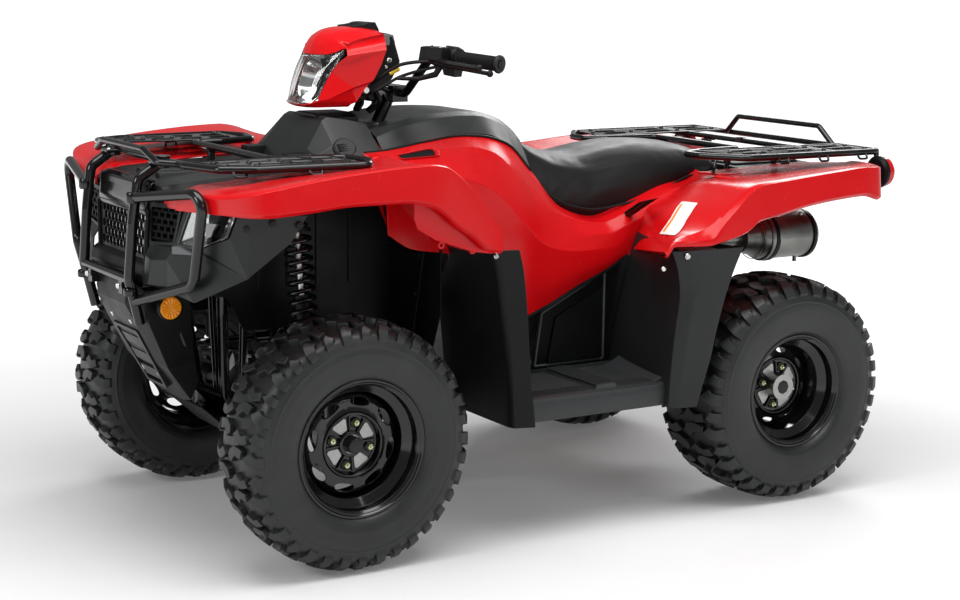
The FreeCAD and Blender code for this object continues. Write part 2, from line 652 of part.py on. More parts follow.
# Tank cover behind the stem and side covers below it
tank_stations = [
    (400, [(206, 950), (160, 992), (-160, 992), (-206, 950)]),
    (282, [(206, 968), (150, 1018), (-150, 1018), (-206, 968)]),
    (185, [(202, 980), (140, 1026), (-140, 1026), (-202, 980)]),
    (96, [(198, 978), (130, 1024), (-130, 1024), (-198, 978)]),
    (21, [(192, 940), (116, 1009), (-116, 1009), (-192, 940)]),
    (-40, [(186, 880), (110, 972), (-110, 972), (-186, 880)])]
tank = panel("x", tank_stations, wall).cut(stem_slot)
side_stations = [
    (462, [(334, 760), (322, 850), (244, 944), (212, 944)]),
    (400, [(338, 722), (326, 880), (250, 944), (212, 948)]),
    (282, [(342, 700), (330, 888), (250, 956), (212, 966)]),
    (150, [(322, 612), (312, 850), (248, 954), (208, 980)]),
    (40, [(296, 512), (300, 760), (240, 880), (198, 950)]),
    (-40, [(270, 532), (284, 700), (236, 800), (192, 876)]),
    (-140, [(262, 572), (270, 680), (224, 752), (190, 772)]),
    (-250, [(250, 610), (254, 664), (214, 722), (190, 730)]),
    (-320, [(242, 640), (244, 676), (212, 730), (190, 742)])]
side_cover = butted(panel("x", side_stations, wall), [front_fender, hood, tank])

# Rear fenders and the deck between them
rear_fender_stations = [
    (-110, [(crest - 22, 716), (crest - 34, 800), (420, 780), (296, 760)]),
    (-186, [(crest - 6, 704), (crest - 20, 822), (420, 800), (290, 770)]),
    (-316, [(crest + 2, 724), (crest - 6, 838), (400, 820), (240, 780)]),
    (-398, [(crest + 8, 730), (crest + 2, 846), (400, 834), (232, 800)]),
    (-463, [(crest + 12, 770), (crest + 4, 856), (400, 842), (214, 822)]),
    (-650, [(crest + 12, 806), (crest + 4, 872), (400, 854), (210, 846)]),
    (-835, [(crest + 10, 822), (crest + 2, 886), (400, 862), (210, 852)]),
    (-905, [(crest, 800), (crest - 8, 886), (400, 864), (210, 854)]),
    (-985, [(crest - 38, 790), (crest - 48, 880), (400, 864), (210, 854)]),
    (-1040, [(490, 796), (480, 868), (380, 862), (210, 852)])]
rear_fender = panel("x", rear_fender_stations, wall)
deck = panel("x", [(-745, [(206, 840), (180, 850), (-180, 850), (-206, 840)]),
                   (-1040, [(206, 842), (180, 852), (-180, 852), (-206, 842)])], wall)
deck = deck.cut([rod((x, s * 150, 800), (x, s * 150, 880), 11) for x in (-900,) for s in (1, -1)])

# Mudguards: the walls behind the front wheels and ahead of the rear wheels
front_guard_stations = [
    (305, [(226, 232), (232, 552), (180, 566)]),
    (420, [(240, 236), (240, 552), (197, 570)]),
    (590, [(262, 240), (264, 552), (212, 572)]),
    (690, [(284, 330), (280, 556), (226, 574)]),
    (742, [(300, 350), (300, 556), (240, 574)])]
front_mudguard = butted(panel("z", front_guard_stations, wall), [front_fender, side_cover])
rear_guard_stations = [
    (305, [(-286, 578), (-238, 562), (-262, 246)]),
    (420, [(-324, 580), (-242, 562), (-280, 248)]),
    (590, [(-366, 582), (-262, 562), (-318, 250)]),
    (650, [(-390, 582), (-250, 562), (-330, 252)]),
    (735, [(-440, 586), (-218, 560), (-330, 254)])]
rear_mudguard = butted(panel("z", rear_guard_stations, wall), [rear_fender])

# Footboards between the mudguards, with a raised peg
board_top = 360
footboard_line = [(228, board_top), (530, board_top), (536, board_top - 54)]
footboard = panel("x", [(260, footboard_line), (-300, footboard_line)], -6)
peg = box((-86, 300, board_top), (-40, 520, board_top + 14))
footboard = butted(footboard.fuse(peg).removeSplitter(), [front_mudguard, rear_mudguard])

# Side panels over the engine's flanks
side_panel = plate("y", 236, -wall, [(-30, 360), (-262, 360), (-262, 618), (-48, 520)])

# Seat: base pan and cushion in one closed form
seat_half = size("seat_width") / 2
seat_stations = [
    (-44, [(150, 872), (112, 960), (0, 968), (-112, 960), (-150, 872), (0, 866)]),
    (-100, [(seat_half, 800), (130, 922), (0, 938), (-130, 922), (-seat_half, 800), (0, 790)]),
    (-180, [(seat_half + 14, 762), (140, 896), (0, 912), (-140, 896), (-seat_half - 14, 762), (0, 750)]),
    (-252, [(seat_half + 16, 748), (148, 892), (0, 904), (-148, 892), (-seat_half - 16, 748), (0, 740)]),
    (-360, [(seat_half + 16, 762), (152, 910), (0, 922), (-152, 910), (-seat_half - 16, 762), (0, 752)]),
    (-470, [(seat_half + 12, 796), (152, 918), (0, 931), (-152, 918), (-seat_half - 12, 796), (0, 786)]),
    (-600, [(seat_half + 2, 845), (146, 908), (0, 922), (-146, 908), (-seat_half - 2, 845), (0, 838)]),
    (-712, [(140, 852), (116, 868), (0, 876), (-116, 868), (-140, 852), (0, 848)])]
seat = solid_loft("x", seat_stations)

# Racks: a tube outline with flat plates
rack_r = size("rack_tube")


def rack(outline, height, bars, plates, slots, wires):
    left = tube([(x, y, height) for x, y in outline], rack_r, 25)
    parts = [left, mirrored(left)]
    for x, half in bars:
        parts.append(rod((x, -half, height), (x, half, height), rack_r - 1))
    low = height + rack_r / 3
    holes = [box((x - long / 2, y - wide / 2, low - 1), (x + long / 2, y + wide / 2, low + 9))
             for x, y, long, wide in slots]
    for corners in plates:
        flat = plate("z", low, size("rack_plate"), corners).cut(holes)
        parts += [flat, mirrored(flat)]
    for path in wires:
        bend = tube(path, rack_r - 1, 22)
        parts += [bend, mirrored(bend)]
    return fused(parts)


front_rack_z = 944
front_slots = [(x, y, 54, 16) for x in (620, 700, 780, 860) for y in (290, 350)]
front_rack = rack(
    [(955, 0), (955, 262), (922, 380), (850, 414), (560, 425), (520, 345), (538, 262), (640, 236), (720, 236),
     (720, 0)],
    front_rack_z, [],
    [[(930, 262), (900, 380), (840, 408), (570, 418), (570, 262), (660, 238)]],
    front_slots,
    [[(1002, 0, 972), (1002, 130, 972), (994, 194, 946), (955, 226, 944)]])
guard = butted(guard_whole, [bumper, front_rack])
rear_rack_z = 906
rear_slots = [(x, y, long, 20) for x, long in ((-560, 60), (-680, 90), (-960, 80)) for y in (290, 350)]
rear_rack = rack(
    [(-730, 0), (-730, 196), (-480, 212), (-330, 240), (-322, 300), (-480, 415), (-1053, 415), (-1053, 0)],
    rear_rack_z, [(-900, 412)],
    [[(-480, 250), (-480, 412), (-1046, 412), (-1046, 250)]],
    rear_slots,
    [[(-1037, 0, 958), (-1037, 180, 958), (-1042, 240, 906)]])

# Lamps at the rear, reflectors on brackets in front
tail_end = -DRAWN_END
tail = rod((tail_end + 21, 405, 852), (tail_end, 405, 852), size("lamp_radius"))
tail = butted(fused([tail, rod((-1053, 386, 852), (-1053, 386, 905), 6)]), [rear_rack])
reflector = fused([rod((969, 190, 602), (969, 200, 602), size("reflector_radius")),
                   rod((969, 192, 602), (969, 100, 602), 5)])
reflector = butted(reflector, [bumper])

# Exhaust: pipe from the cylinder and the muffler at the left rear
muffler_r = size("muffler_radius")
muffler_line = [(-700, 0), (-700, 40), (-742, 52), (-752, muffler_r - 8), (-768, muffler_r - 4), (-768, muffler_r),
                (-782, muffler_r), (-782, muffler_r - 3), (-918, muffler_r - 3), (-918, muffler_r), (-930, muffler_r),
                (-946, muffler_r - 14), (-946, 24), (-954, 24), (-954, 0)]
muffler_face = Part.Face(Part.makePolygon([point((x, 250 + r, 664)) for x, r in muffler_line + muffler_line[:1]]))
muffler = muffler_face.revolve(point((0, 250, 664)), FreeCAD.Vector(1, 0, 0), 360)
shield_line = [(-790, muffler_r - 4), (-790, muffler_r + 4), (-908, muffler_r + 4), (-908, muffler_r - 4)]
shield_face = Part.Face(Part.makePolygon([point((x, 250 + r, 664)) for x, r in shield_line + shield_line[:1]]))
shield = shield_face.revolve(point((0, 250, 664)), FreeCAD.Vector(1, 0, 0), 100)
muffler = fused([muffler, shield, rod((-905, 250, 664 - muffler_r + 6), (-905, 250, 664 - muffler_r - 12), 6)])
exhaust_pipe = tube([
    (150.3, 0, 610), (205, 0, 610), (205, 176, 590), (-300, 190, 560), (-440, 250, 610), (-560, 250, 664),
    (-737, 250, 664)], size("pipe_radius"), 40)

add("front_guard", guard)
add("front_fenders", pair(front_fender))
add("front_hood", hood)
add("tank_cover", tank)
add("side_covers", pair(side_cover))
add("rear_fenders", pair(rear_fender))
add("rear_deck", deck)
add("front_mudguards", pair(front_mudguard))
add("rear_mudguards", pair(rear_mudguard))
add("footboard_left", footboard)
add("footboard_right", mirrored(footboard))
add("side_panels", pair(side_panel))
add("seat", seat)
add("front_rack", front_rack)
add("rear_rack", rear_rack)
add("tail_lamps", pair(tail))
add("reflectors", pair(reflector))
add("exhaust", fused([muffler, exhaust_pipe]))

# Frame: two lower rails that close in under the differential, two top rails, uprights, cross tubes
tube_r = size("frame_tube")
brace_r = size("brace_tube")
low_z = size("rail_height")
rail_y = size("rail_spread")
nose_y = size("rail_front_spread")
top_y = size("top_rail_spread")
top_z = size("top_rail_front_height")
tail_z = size("top_rail_rear_height")
dip_z = size("seat_rail_height")
upright_x = 800
shock_x = front_axle_x + 10
pivot_x = -330
pivot_z = size("swingarm_pivot_height")
lower_rail = tube([
    (upright_x, top_y, top_z + 60), (upright_x, top_y, 560), (upright_x - 20, nose_y + 10, low_z + 80),
    (upright_x - 90, nose_y, low_z), (480, nose_y, low_z), (380, rail_y, low_z),
    (-360, rail_y, low_z), (-440, top_y, low_z + 130), (-460, top_y, dip_z)], tube_r, 35)
top_rail = tube([
    (upright_x, top_y, top_z), (260, top_y, top_z - 18), (-60, top_y, dip_z + 8),
    (-460, top_y, dip_z), (-600, 150, tail_z), (-1000, 150, tail_z)], tube_r, 60)
front_brace = rod((730, nose_y, low_z), (735, top_y, top_z), brace_r)
middle_brace = rod((520, nose_y, low_z), (520, top_y, top_z - 8), brace_r)
down_tube = rod((300, rail_y, low_z), (250, top_y, top_z - 20), brace_r)
arm_pin_z = low_z + 20
lower_pin = rod((540, 104, arm_pin_z), (760, 104, arm_pin_z), size("pivot_pin"))
lower_lugs = [box((x, nose_y, low_z), (x + 8, 112, arm_pin_z + 8)) for x in (532, 600, 692, 760)]
upper_pin_z = 440
upper_pin = rod((512, 128, upper_pin_z), (740, 128, upper_pin_z), size("pivot_pin"))
upper_lugs = [box((x, 78, upper_pin_z - 9), (x + 8, 136, upper_pin_z + 9))
              for x in (514, 724)]
shock_top_z = 826
shock_top_y = 226
left_half = [lower_rail, top_rail, front_brace, middle_brace, down_tube,
             lower_pin, upper_pin] + lower_lugs + upper_lugs
cross = [
    rod((upright_x, -top_y, top_z), (upright_x, top_y, top_z), brace_r),
    rod((shock_x, -shock_top_y - 26, top_z), (shock_x, shock_top_y + 26, top_z), brace_r),
    rod((250, -top_y, top_z - 20), (250, top_y, top_z - 20), brace_r),
    rod((-460, -top_y, dip_z), (-460, top_y, dip_z), brace_r),
    rod((-990, -150, tail_z), (-990, 150, tail_z), brace_r),
    rod((-620, -210, tail_z), (-620, 210, tail_z), brace_r),
    rod((pivot_x, -rail_y, pivot_z), (pivot_x, rail_y, pivot_z), 9),
    rod((430, -88, low_z), (430, 88, low_z), brace_r),
    rod((-300, -rail_y, low_z), (-300, rail_y, low_z), brace_r),
]
pivot_plate = box((pivot_x - 24, rail_y - 8, low_z), (pivot_x + 24, rail_y, pivot_z + 22))
# Steering bearings: a lower and an upper plate with the stem through them
upper_bearing = stem_rod(420, 450, 30).cut(stem_rod(410, 460, size("stem_radius") + size("seat_gap")))
lower_bearing = stem_rod(30, 60, 30).cut(stem_rod(20, 70, size("stem_radius") + size("seat_gap")))
upper_place = on_stem(435)
lower_place = on_stem(45)
bearing_arms = []
for side in (1, -1):
    bearing_arms.append(rod((upper_place[0], side * 26, upper_place[2]),
                            (upper_place[0], side * top_y, upper_place[2]), brace_r))
    bearing_arms.append(rod((lower_place[0], side * 26, lower_place[2]),
                            (520, side * 86, lower_place[2] + 10), brace_r))
outrigger_z = board_top - 6 - size("seat_gap") - brace_r
outriggers = [tube([(x, rail_y, low_z), (x, 166, low_z), (x, 206, outrigger_z), (x, 490, outrigger_z)], brace_r, 26)
              for x in (120, -190)]

# Stays from the frame to the panels, the seat, the racks and the muffler
panel_stays = [
    stay((shock_x, shock_top_y + 24, top_z), (shock_x, shock_top_y + 100, top_z + 140), brace_r, [front_fender]),
    stay((300, top_y, top_z - 18), (300, top_y, top_z + 240), brace_r, [tank]),
    stay((480, top_y, top_z - 8), (480, top_y, top_z + 240), brace_r, [hood]),
    stay((upright_x, top_y, top_z + 40), (upright_x, top_y, top_z + 120), 8, [hood]),
    stay((240, top_y, top_z - 18), (240, top_y + 300, top_z + 10), brace_r, [side_cover]),
    stay((-90, top_y, dip_z + 6), (-90, top_y + 240, dip_z + 6), brace_r, [side_cover]),
    stay((-270, top_y, dip_z), (-270, top_y, dip_z + 200), brace_r, [seat]),
    stay((-440, top_y, dip_z), (-440, top_y, dip_z + 240), brace_r, [seat]),
    stay((-330, top_y, dip_z), (-330, top_y + 300, dip_z + 160), brace_r, [rear_fender]),
    stay((-640, 150, tail_z), (-640, 420, tail_z + 110), brace_r, [rear_fender]),
    stay((-980, 150, tail_z), (-980, 420, tail_z + 110), brace_r, [rear_fender]),
    stay((-850, 150, tail_z), (-850, 150, tail_z + 120), brace_r, [deck]),
    stay((-900, 150, tail_z), (-900, 250, tail_z - 120), brace_r, [muffler]),
    stay((upright_x, top_y, 640), (1060, 96, 626), brace_r, [bumper]),
    stay((upright_x - 20, nose_y + 10, low_z + 84), (930, 60, 410), brace_r, [bumper]),
    stay((upright_x, top_y, 604), (1020, 158, 708), brace_r, [fascia, grille]),
    stay((rack_stay_x, top_y, top_z), (rack_stay_x, top_y, front_rack_z), rack_r - 2, [front_rack]),
    stay((-730, 150, tail_z), (-730, 150, rear_rack_z), rack_r - 2, [rear_rack]),
    stay((-900, 150, tail_z), (-900, 150, rear_rack_z), rack_r - 2, [rear_rack]),
]
frame_shapes = left_half + [mirrored(s) for s in left_half] + cross
frame_shapes += [pivot_plate, mirrored(pivot_plate), upper_bearing, lower_bearing]
frame_shapes += bearing_arms + outriggers + [mirrored(s) for s in outriggers]
frame_shapes += panel_stays + [mirrored(s) for s in panel_stays]
frame_shape = fused(frame_shapes)
add("frame", frame_shape)

# Engine: one plain block standing on the rails, with its cylinder
engine_floor = low_z + tube_r + size("seat_gap")
engine = doc.addObject("Part::Box", "engine_case")
engine.setExpression("Length", "sizes.engine_length")
engine.setExpression("Width", "sizes.engine_width")
engine.setExpression("Height", "sizes.engine_height")
engine_front = along(150)
engine.Placement.Base = FreeCAD.Vector(engine_front - 400, -size("engine_width") / 2, engine_floor)
cylinder = doc.addObject("Part::Box", "engine_cylinder")
cylinder.setExpression("Length", "sizes.cylinder_length")
cylinder.setExpression("Width", "sizes.cylinder_width")
cylinder.setExpression("Height", "sizes.cylinder_height + 20")
cylinder.Placement.Base = FreeCAD.Vector(engine_front - size("cylinder_length"), -size("cylinder_width") / 2,
                                         engine_floor + size("engine_height") - 20)
block = doc.addObject("Part::MultiFuse", "engine")
block.Label = "engine"
block.Shapes = [engine, cylinder]
nodes.append(block)

# Front differential resting on the rails, and the shafts out to the knuckles
diff_r = size("diff_radius")
diff_half = size("diff_width") / 2
diff_z = low_z + tube_r + size("seat_gap") + diff_r
housing = rod((0, -diff_half, 0), (0, diff_half, 0), 42)
housing = fused([housing, rod((0, -78, 0), (0, 78, 0), diff_r), rod((0, 0, 0), (-95, 0, 0), 30)])
add("front_differential", housing, (front_axle_x, 0, diff_z))
boot_start = diff_half + size("seat_gap")
shaft_end_y = 352


def boot(start, line):
    # A bellows turned round an axis along Y.
    foot = point(start)
    corners = [foot + FreeCAD.Vector(0, y, r) for y, r in line]
    return Part.Face(Part.makePolygon(corners + corners[:1])).revolve(foot, FreeCAD.Vector(0, 1, 0), 360)


inner_boot = boot((front_axle_x, boot_start, diff_z), [
    (0, 0), (0, 36), (12, 36), (18, 30), (26, 34), (32, 24), (40, 29), (46, 19), (54, 24), (62, 15), (62, 0)])
half_shaft = rod((front_axle_x, boot_start + 20, diff_z), (front_axle_x, shaft_end_y, axle_z), 11)
outer_boot = boot((front_axle_x, shaft_end_y - 46, axle_z + 1), [
    (0, 0), (0, 15), (8, 24), (14, 19), (22, 29), (28, 24), (36, 34), (50, 34), (50, 0)])
add("half_shafts", pair(fused([inner_boot, half_shaft, outer_boot])))

# Front arms: lower and upper wishbones on the frame's pins
sleeve_r = size("arm_sleeve")
pin_hole = size("pivot_pin") + size("seat_gap")


def sleeve(x0, x1, y, z):
    return rod((x0, y, z), (x1, y, z), sleeve_r)


lower_arm = fused([
    sleeve(545, 595, 104, arm_pin_z), sleeve(705, 755, 104, arm_pin_z),
    rod((570, 104, arm_pin_z), (front_axle_x - 4, knuckle_y - 34, lower_ball_z), size("arm_tube")),
    rod((730, 104, arm_pin_z), (front_axle_x + 4, knuckle_y - 34, lower_ball_z), size("arm_tube")),
    rod((600, 190, 258), (692, 190, 258), size("arm_tube") - 3),
    rod((front_axle_x, knuckle_y - 40, lower_ball_z), (front_axle_x, knuckle_y - post_r - gap, lower_ball_z), 15)])
lower_arm = lower_arm.cut(rod((500, 104, arm_pin_z), (800, 104, arm_pin_z), pin_hole))
shock_foot_y = 280
shock_foot_z = 405.6
upper_arm = fused([
    sleeve(562, 602, 128, upper_pin_z), sleeve(682, 722, 128, upper_pin_z),
    rod((582, 128, upper_pin_z), (front_axle_x - 4, knuckle_y - 34, upper_ball_z), size("arm_tube") - 1),
    rod((702, 128, upper_pin_z), (front_axle_x + 4, knuckle_y - 34, upper_ball_z), size("arm_tube") - 1),
    rod((front_axle_x, knuckle_y - 40, upper_ball_z), (front_axle_x, knuckle_y - post_r - gap, upper_ball_z), 15),
    rod((620, shock_foot_y, shock_foot_z), (672, shock_foot_y, shock_foot_z), 9)])
upper_arm = upper_arm.cut(rod((500, 128, upper_pin_z), (800, 128, upper_pin_z), pin_hole))
add("a_arms_left", Part.makeCompound([lower_arm, upper_arm]))
add("a_arms_right", mirrored(Part.makeCompound([lower_arm, upper_arm])))


SPRING_TURNS = 6


def shock(foot, head, spring_start, spring_end):
    way = point(head) - point(foot)
    long = way.Length
    way.normalize()
    places = [point(foot) + way * (long * part) for part in (0, spring_start, spring_end)]
    body = Part.makeCylinder(size("shock_body"), long * 0.5, places[0] + way * 16, way)
    rod_part = Part.makeCylinder(9, long - 30, places[0] + way * 15, way)
    spring_long = (places[2] - places[1]).Length
    spring_r = size("shock_spring")
    turn = FreeCAD.Rotation(FreeCAD.Vector(0, 0, 1), way)
    coil = [(0, 0), (spring_r, 0), (spring_r, 8)]
    for index in range(SPRING_TURNS):
        low = 8 + (spring_long - 16) * index / SPRING_TURNS
        pitch = (spring_long - 16) / SPRING_TURNS
        coil += [(spring_r - 9, low + 1), (spring_r - 1, low + pitch * 0.35), (spring_r - 1, low + pitch * 0.6),
                 (spring_r - 9, low + pitch - 1)]
    coil += [(spring_r, spring_long - 8), (spring_r, spring_long), (0, spring_long)]
    corners = [places[1] + turn.multVec(FreeCAD.Vector(r, 0, height)) for r, height in coil]
    spring = Part.Face(Part.makePolygon(corners + corners[:1])).revolve(places[1], way, 360)
    return fused([body, rod_part, spring])


front_foot = (front_axle_x, shock_foot_y, shock_foot_z)
front_head = (shock_x, shock_top_y, top_z)
front_shock = fused([
    shock(front_foot, front_head, 0.22, 0.88),
    rod((front_axle_x - 5, shock_foot_y, shock_foot_z), (front_axle_x + 5, shock_foot_y, shock_foot_z), 15),
    rod((shock_x, shock_top_y - 14, top_z), (shock_x, shock_top_y + 14, top_z), 20)])
front_shock = front_shock.cut([
    rod((shock_x, 100, top_z), (shock_x, 400, top_z), brace_r + gap),
    rod((600, shock_foot_y, shock_foot_z), (700, shock_foot_y, shock_foot_z), 9 + gap)])
add("front_shock_left", front_shock)
add("front_shock_right", mirrored(front_shock))

# Swingarm: pivot sleeve, two beams, axle housing and the drive case, with the hitch below
beam_y = 60
housing_half = 210
swing_parts = [
    rod((pivot_x, -92, pivot_z), (pivot_x, 92, pivot_z), 24),
    rod((rear_axle_x, -housing_half, axle_z), (rear_axle_x, housing_half, axle_z), size("axle_housing")),
    rod((rear_axle_x, -75, axle_z), (rear_axle_x, 45, axle_z), 88),
    rod((pivot_x, beam_y, pivot_z), (rear_axle_x, beam_y + 20, axle_z + 6), 20),
    rod((pivot_x, -beam_y, pivot_z), (rear_axle_x, -beam_y - 20, axle_z + 6), 20),
    box((rear_axle_x - 150, -35, axle_z - 60), (rear_axle_x - 30, 35, axle_z - 60 + size("hitch_plate"))),
]
swing_shape = fused(swing_parts)
swing_shape = swing_shape.cut(rod((pivot_x, -100, pivot_z), (pivot_x, 100, pivot_z), 9 + size("seat_gap")))
swing_shape = swing_shape.cut(rod((rear_axle_x, -300, axle_z), (rear_axle_x, 300, axle_z),
                                  size("axle_shaft") + 1))
hitch_x = rear_axle_x - 125
swing_shape = swing_shape.cut(rod((hitch_x, 0, axle_z - 80), (hitch_x, 0, axle_z), size("hitch_bore")))
shock_low = (rear_axle_x + 40, 150, axle_z + 50)
swing_shape = swing_shape.fuse([box((rear_axle_x + 20, y - 8, axle_z), (rear_axle_x + 60, y + 8, axle_z + 50))
                                for y in (150, -150)]).removeSplitter()
add("swingarm", swing_shape)
rear_shock = shock((rear_axle_x + 40, 150, axle_z + 50.3 - 16), (-620, 190, tail_z - brace_r + 14.7), 0.24, 0.86)
rear_shock = butted(rear_shock, [swing_shape, frame_shape])
add("rear_shocks", pair(rear_shock))

# Skid plate under the rails and the bumper shield in front of it
plate_t = size("plate_thickness")
plate_top = low_z - tube_r - size("seat_gap")
skid = add_body("skid_plate")
skid_sketch = sketch_on(skid, "skid_side", "XZ_Plane")
skid_line = [(-370, plate_top), (760, plate_top), (858, plate_top + 88)]
skid_outline = skid_line + offset_line(skid_line, -plate_t)[::-1]
draw_polygon(skid_sketch, [(along(x), z) for x, z in skid_outline])
skid_pad = skid.newObject("PartDesign::Pad", "skid_pad")
skid_pad.Profile = skid_sketch
skid_pad.setExpression("Length", "sizes.skid_plate_width")
skid_pad.Midplane = True


doc.recompute()
for item in doc.Objects:
    if "Invalid" in item.State or "Error" in item.State:
        raise ValueError("%s did not compute" % item.Label)
for item in nodes:
    shape = item.Shape
    if shape.isNull() or not shape.isValid() or not shape.Solids:
        raise ValueError("%s has no sound solid" % item.Label)
for item in nodes:
    shape = item.Shape
    if len(shape.Solids) == 1:
        shape = shape.Solids[0]
    shape.exportStep("parts/%s.step" % item.Label)
    box_now = item.Shape.BoundBox
    print("%-20s %2d solids  x %7.1f %7.1f  y %7.1f %7.1f  z %7.1f %7.1f" % (
        item.Label, len(item.Shape.Solids), box_now.XMin, box_now.XMax,
        box_now.YMin, box_now.YMax, box_now.ZMin, box_now.ZMax))
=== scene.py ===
import math

import bmesh
import bpy
from mathutils import Matrix, Vector
from mathutils.bvhtree import BVHTree
from mathutils.geometry import tessellate_polygon


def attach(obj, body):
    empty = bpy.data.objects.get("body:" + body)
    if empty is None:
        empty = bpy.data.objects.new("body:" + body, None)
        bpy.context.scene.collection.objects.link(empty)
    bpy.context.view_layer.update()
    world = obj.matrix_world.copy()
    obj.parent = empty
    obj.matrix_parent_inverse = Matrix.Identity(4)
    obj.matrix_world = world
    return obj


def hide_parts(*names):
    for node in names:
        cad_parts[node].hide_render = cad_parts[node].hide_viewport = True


# The dressed utility quad bike. Places are in millimetres here and in metres in the scene.
# +X forward, +Y to the rider's left, +Z up, origin on the ground at mid length.

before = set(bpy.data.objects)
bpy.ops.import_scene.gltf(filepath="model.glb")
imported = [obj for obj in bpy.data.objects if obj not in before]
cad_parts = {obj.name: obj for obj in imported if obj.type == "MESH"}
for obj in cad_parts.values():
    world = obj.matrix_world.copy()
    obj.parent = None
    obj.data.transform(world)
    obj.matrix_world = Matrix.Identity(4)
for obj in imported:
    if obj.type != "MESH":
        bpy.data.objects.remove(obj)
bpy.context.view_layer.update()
scene = bpy.context.scene
MM = 0.001


def place(x, y, z):
    return Vector((x, y, z)) * MM


# Materials

def shader_of(name):
    material = bpy.data.materials.new(name)
    material.use_nodes = True
    return material, material.node_tree.nodes, material.node_tree.links


def noise(nodes, links, coords, scale, detail=3.0):
    texture = nodes.new("ShaderNodeTexNoise")
    texture.inputs["Scale"].default_value = scale
    texture.inputs["Detail"].default_value = detail
    links.new(coords.outputs["Object"], texture.inputs["Vector"])
    return texture


def spread(nodes, links, source, low, high):
    # A noise value stretched to the range from low to high.
    ranged = nodes.new("ShaderNodeMapRange")
    for name, value in (("From Min", 0.3), ("From Max", 0.7), ("To Min", low), ("To Max", high)):
        ranged.inputs[name].default_value = value
    links.new(source, ranged.inputs["Value"])
    return ranged.outputs["Result"]


def plastic(name, colour, rough, metallic=0.0, coat=0.0, specular=0.5, vary=0.12, vary_scale=5.0,
            rough_vary=0.05, grain=0.0, grain_scale=700.0, leather=False, sheen=0.0):
    # A surface whose colour and gloss drift a little, with a fine moulded grain.
    material, nodes, links = shader_of(name)
    shader = nodes["Principled BSDF"]
    shader.inputs["Metallic"].default_value = metallic
    shader.inputs["Coat Weight"].default_value = coat
    shader.inputs["Coat Roughness"].default_value = 0.04
    shader.inputs["Specular IOR Level"].default_value = specular
    shader.inputs["Sheen Weight"].default_value = sheen
    coords = nodes.new("ShaderNodeTexCoord")
    drift = noise(nodes, links, coords, vary_scale)
    mix = nodes.new("ShaderNodeMix")
    mix.data_type = "RGBA"
    mix.inputs["A"].default_value = [c * (1 - vary) for c in colour] + [1]
    mix.inputs["B"].default_value = [min(1, c * (1 + vary)) for c in colour] + [1]
    links.new(spread(nodes, links, drift.outputs["Fac"], 0.0, 1.0), mix.inputs["Factor"])
    links.new(mix.outputs["Result"], shader.inputs["Base Color"])
    smears = noise(nodes, links, coords, vary_scale * 4)
    links.new(spread(nodes, links, smears.outputs["Fac"], rough - rough_vary, rough + rough_vary),
              shader.inputs["Roughness"])
    if grain:
        if leather:
            fine = nodes.new("ShaderNodeTexVoronoi")
            fine.inputs["Scale"].default_value = grain_scale
            links.new(coords.outputs["Object"], fine.inputs["Vector"])
            height = fine.outputs["Distance"]
        else:
            height = noise(nodes, links, coords, grain_scale, 2.0).outputs["Fac"]
        bump = nodes.new("ShaderNodeBump")
        bump.inputs["Strength"].default_value = grain
        bump.inputs["Distance"].default_value = 0.0006
        links.new(height, bump.inputs["Height"])
        links.new(bump.outputs["Normal"], shader.inputs["Normal"])
    return material


def clear(name, colour, rough, transmission=1.0, ior=1.45):
    material, nodes, links = shader_of(name)
    shader = nodes["Principled BSDF"]
    shader.inputs["Base Color"].default_value = (*colour, 1)
    shader.inputs["Transmission Weight"].default_value = transmission
    shader.inputs["IOR"].default_value = ior
    coords = nodes.new("ShaderNodeTexCoord")
    haze = noise(nodes, links, coords, 40)
    links.new(spread(nodes, links, haze.outputs["Fac"], rough, rough + 0.04), shader.inputs["Roughness"])
    return material


FINE = dict(grain=0.06, grain_scale=1500)
RED = plastic("red_plastic", (0.56, 0.0028, 0.0052), 0.25, coat=0.06, specular=0.24, vary=0.04,
              rough_vary=0.03)
DARK = plastic("dark_plastic", (0.0042, 0.0046, 0.0050), 0.40, specular=0.18, vary=0.15, **FINE)
GREY = plastic("grey_plastic", (0.0120, 0.0132, 0.0138), 0.38, specular=0.32, vary=0.12, **FINE)
GLOSS = plastic("gloss_coat", (0.0040, 0.0040, 0.0044), 0.17, coat=0.15, specular=0.4, vary=0.1)
RIM = plastic("rim_coat", (0.0035, 0.0035, 0.0040), 0.15, coat=0.25, specular=0.4, vary=0.1)
RUBBER = plastic("tyre_rubber", (0.0095, 0.0106, 0.0108), 0.43, vary=0.3, vary_scale=14, grain=0.2,
                 grain_scale=900)
SOFT = plastic("soft_rubber", (0.007, 0.007, 0.007), 0.52, specular=0.3, vary=0.15, grain=0.1,
               grain_scale=1200)
VINYL = plastic("seat_vinyl", (0.0056, 0.0056, 0.0060), 0.42, specular=0.26, vary=0.14, grain=0.2,
                grain_scale=850, leather=True, sheen=0.04)
BOARD = plastic("board_plastic", (0.026, 0.028, 0.029), 0.40, specular=0.4, vary=0.12, **FINE)
# Light grey for the rims round the side panels: a painted highlight where light catches their rounded edges,
# not wear
EDGE_HIGHLIGHT = plastic("painted_edge_highlight", (0.075, 0.08, 0.085), 0.34, specular=0.4, vary=0.1)
STEEL = plastic("bright_steel", (0.62, 0.62, 0.60), 0.26, metallic=1.0, vary=0.1, vary_scale=20,
                grain=0.03, grain_scale=900)
BRUSHED = plastic("muffler_steel", (0.20, 0.20, 0.19), 0.36, metallic=1.0, vary=0.22, vary_scale=12,
                  rough_vary=0.09, grain=0.08, grain_scale=1600)
CAST = plastic("cast_alloy", (0.16, 0.16, 0.165), 0.5, metallic=0.85, vary=0.2, vary_scale=30,
               grain=0.3, grain_scale=1300)
ALLOY = plastic("hub_alloy", (0.34, 0.34, 0.33), 0.32, metallic=1.0, vary=0.08, vary_scale=60,
                grain=0.06, grain_scale=1400)
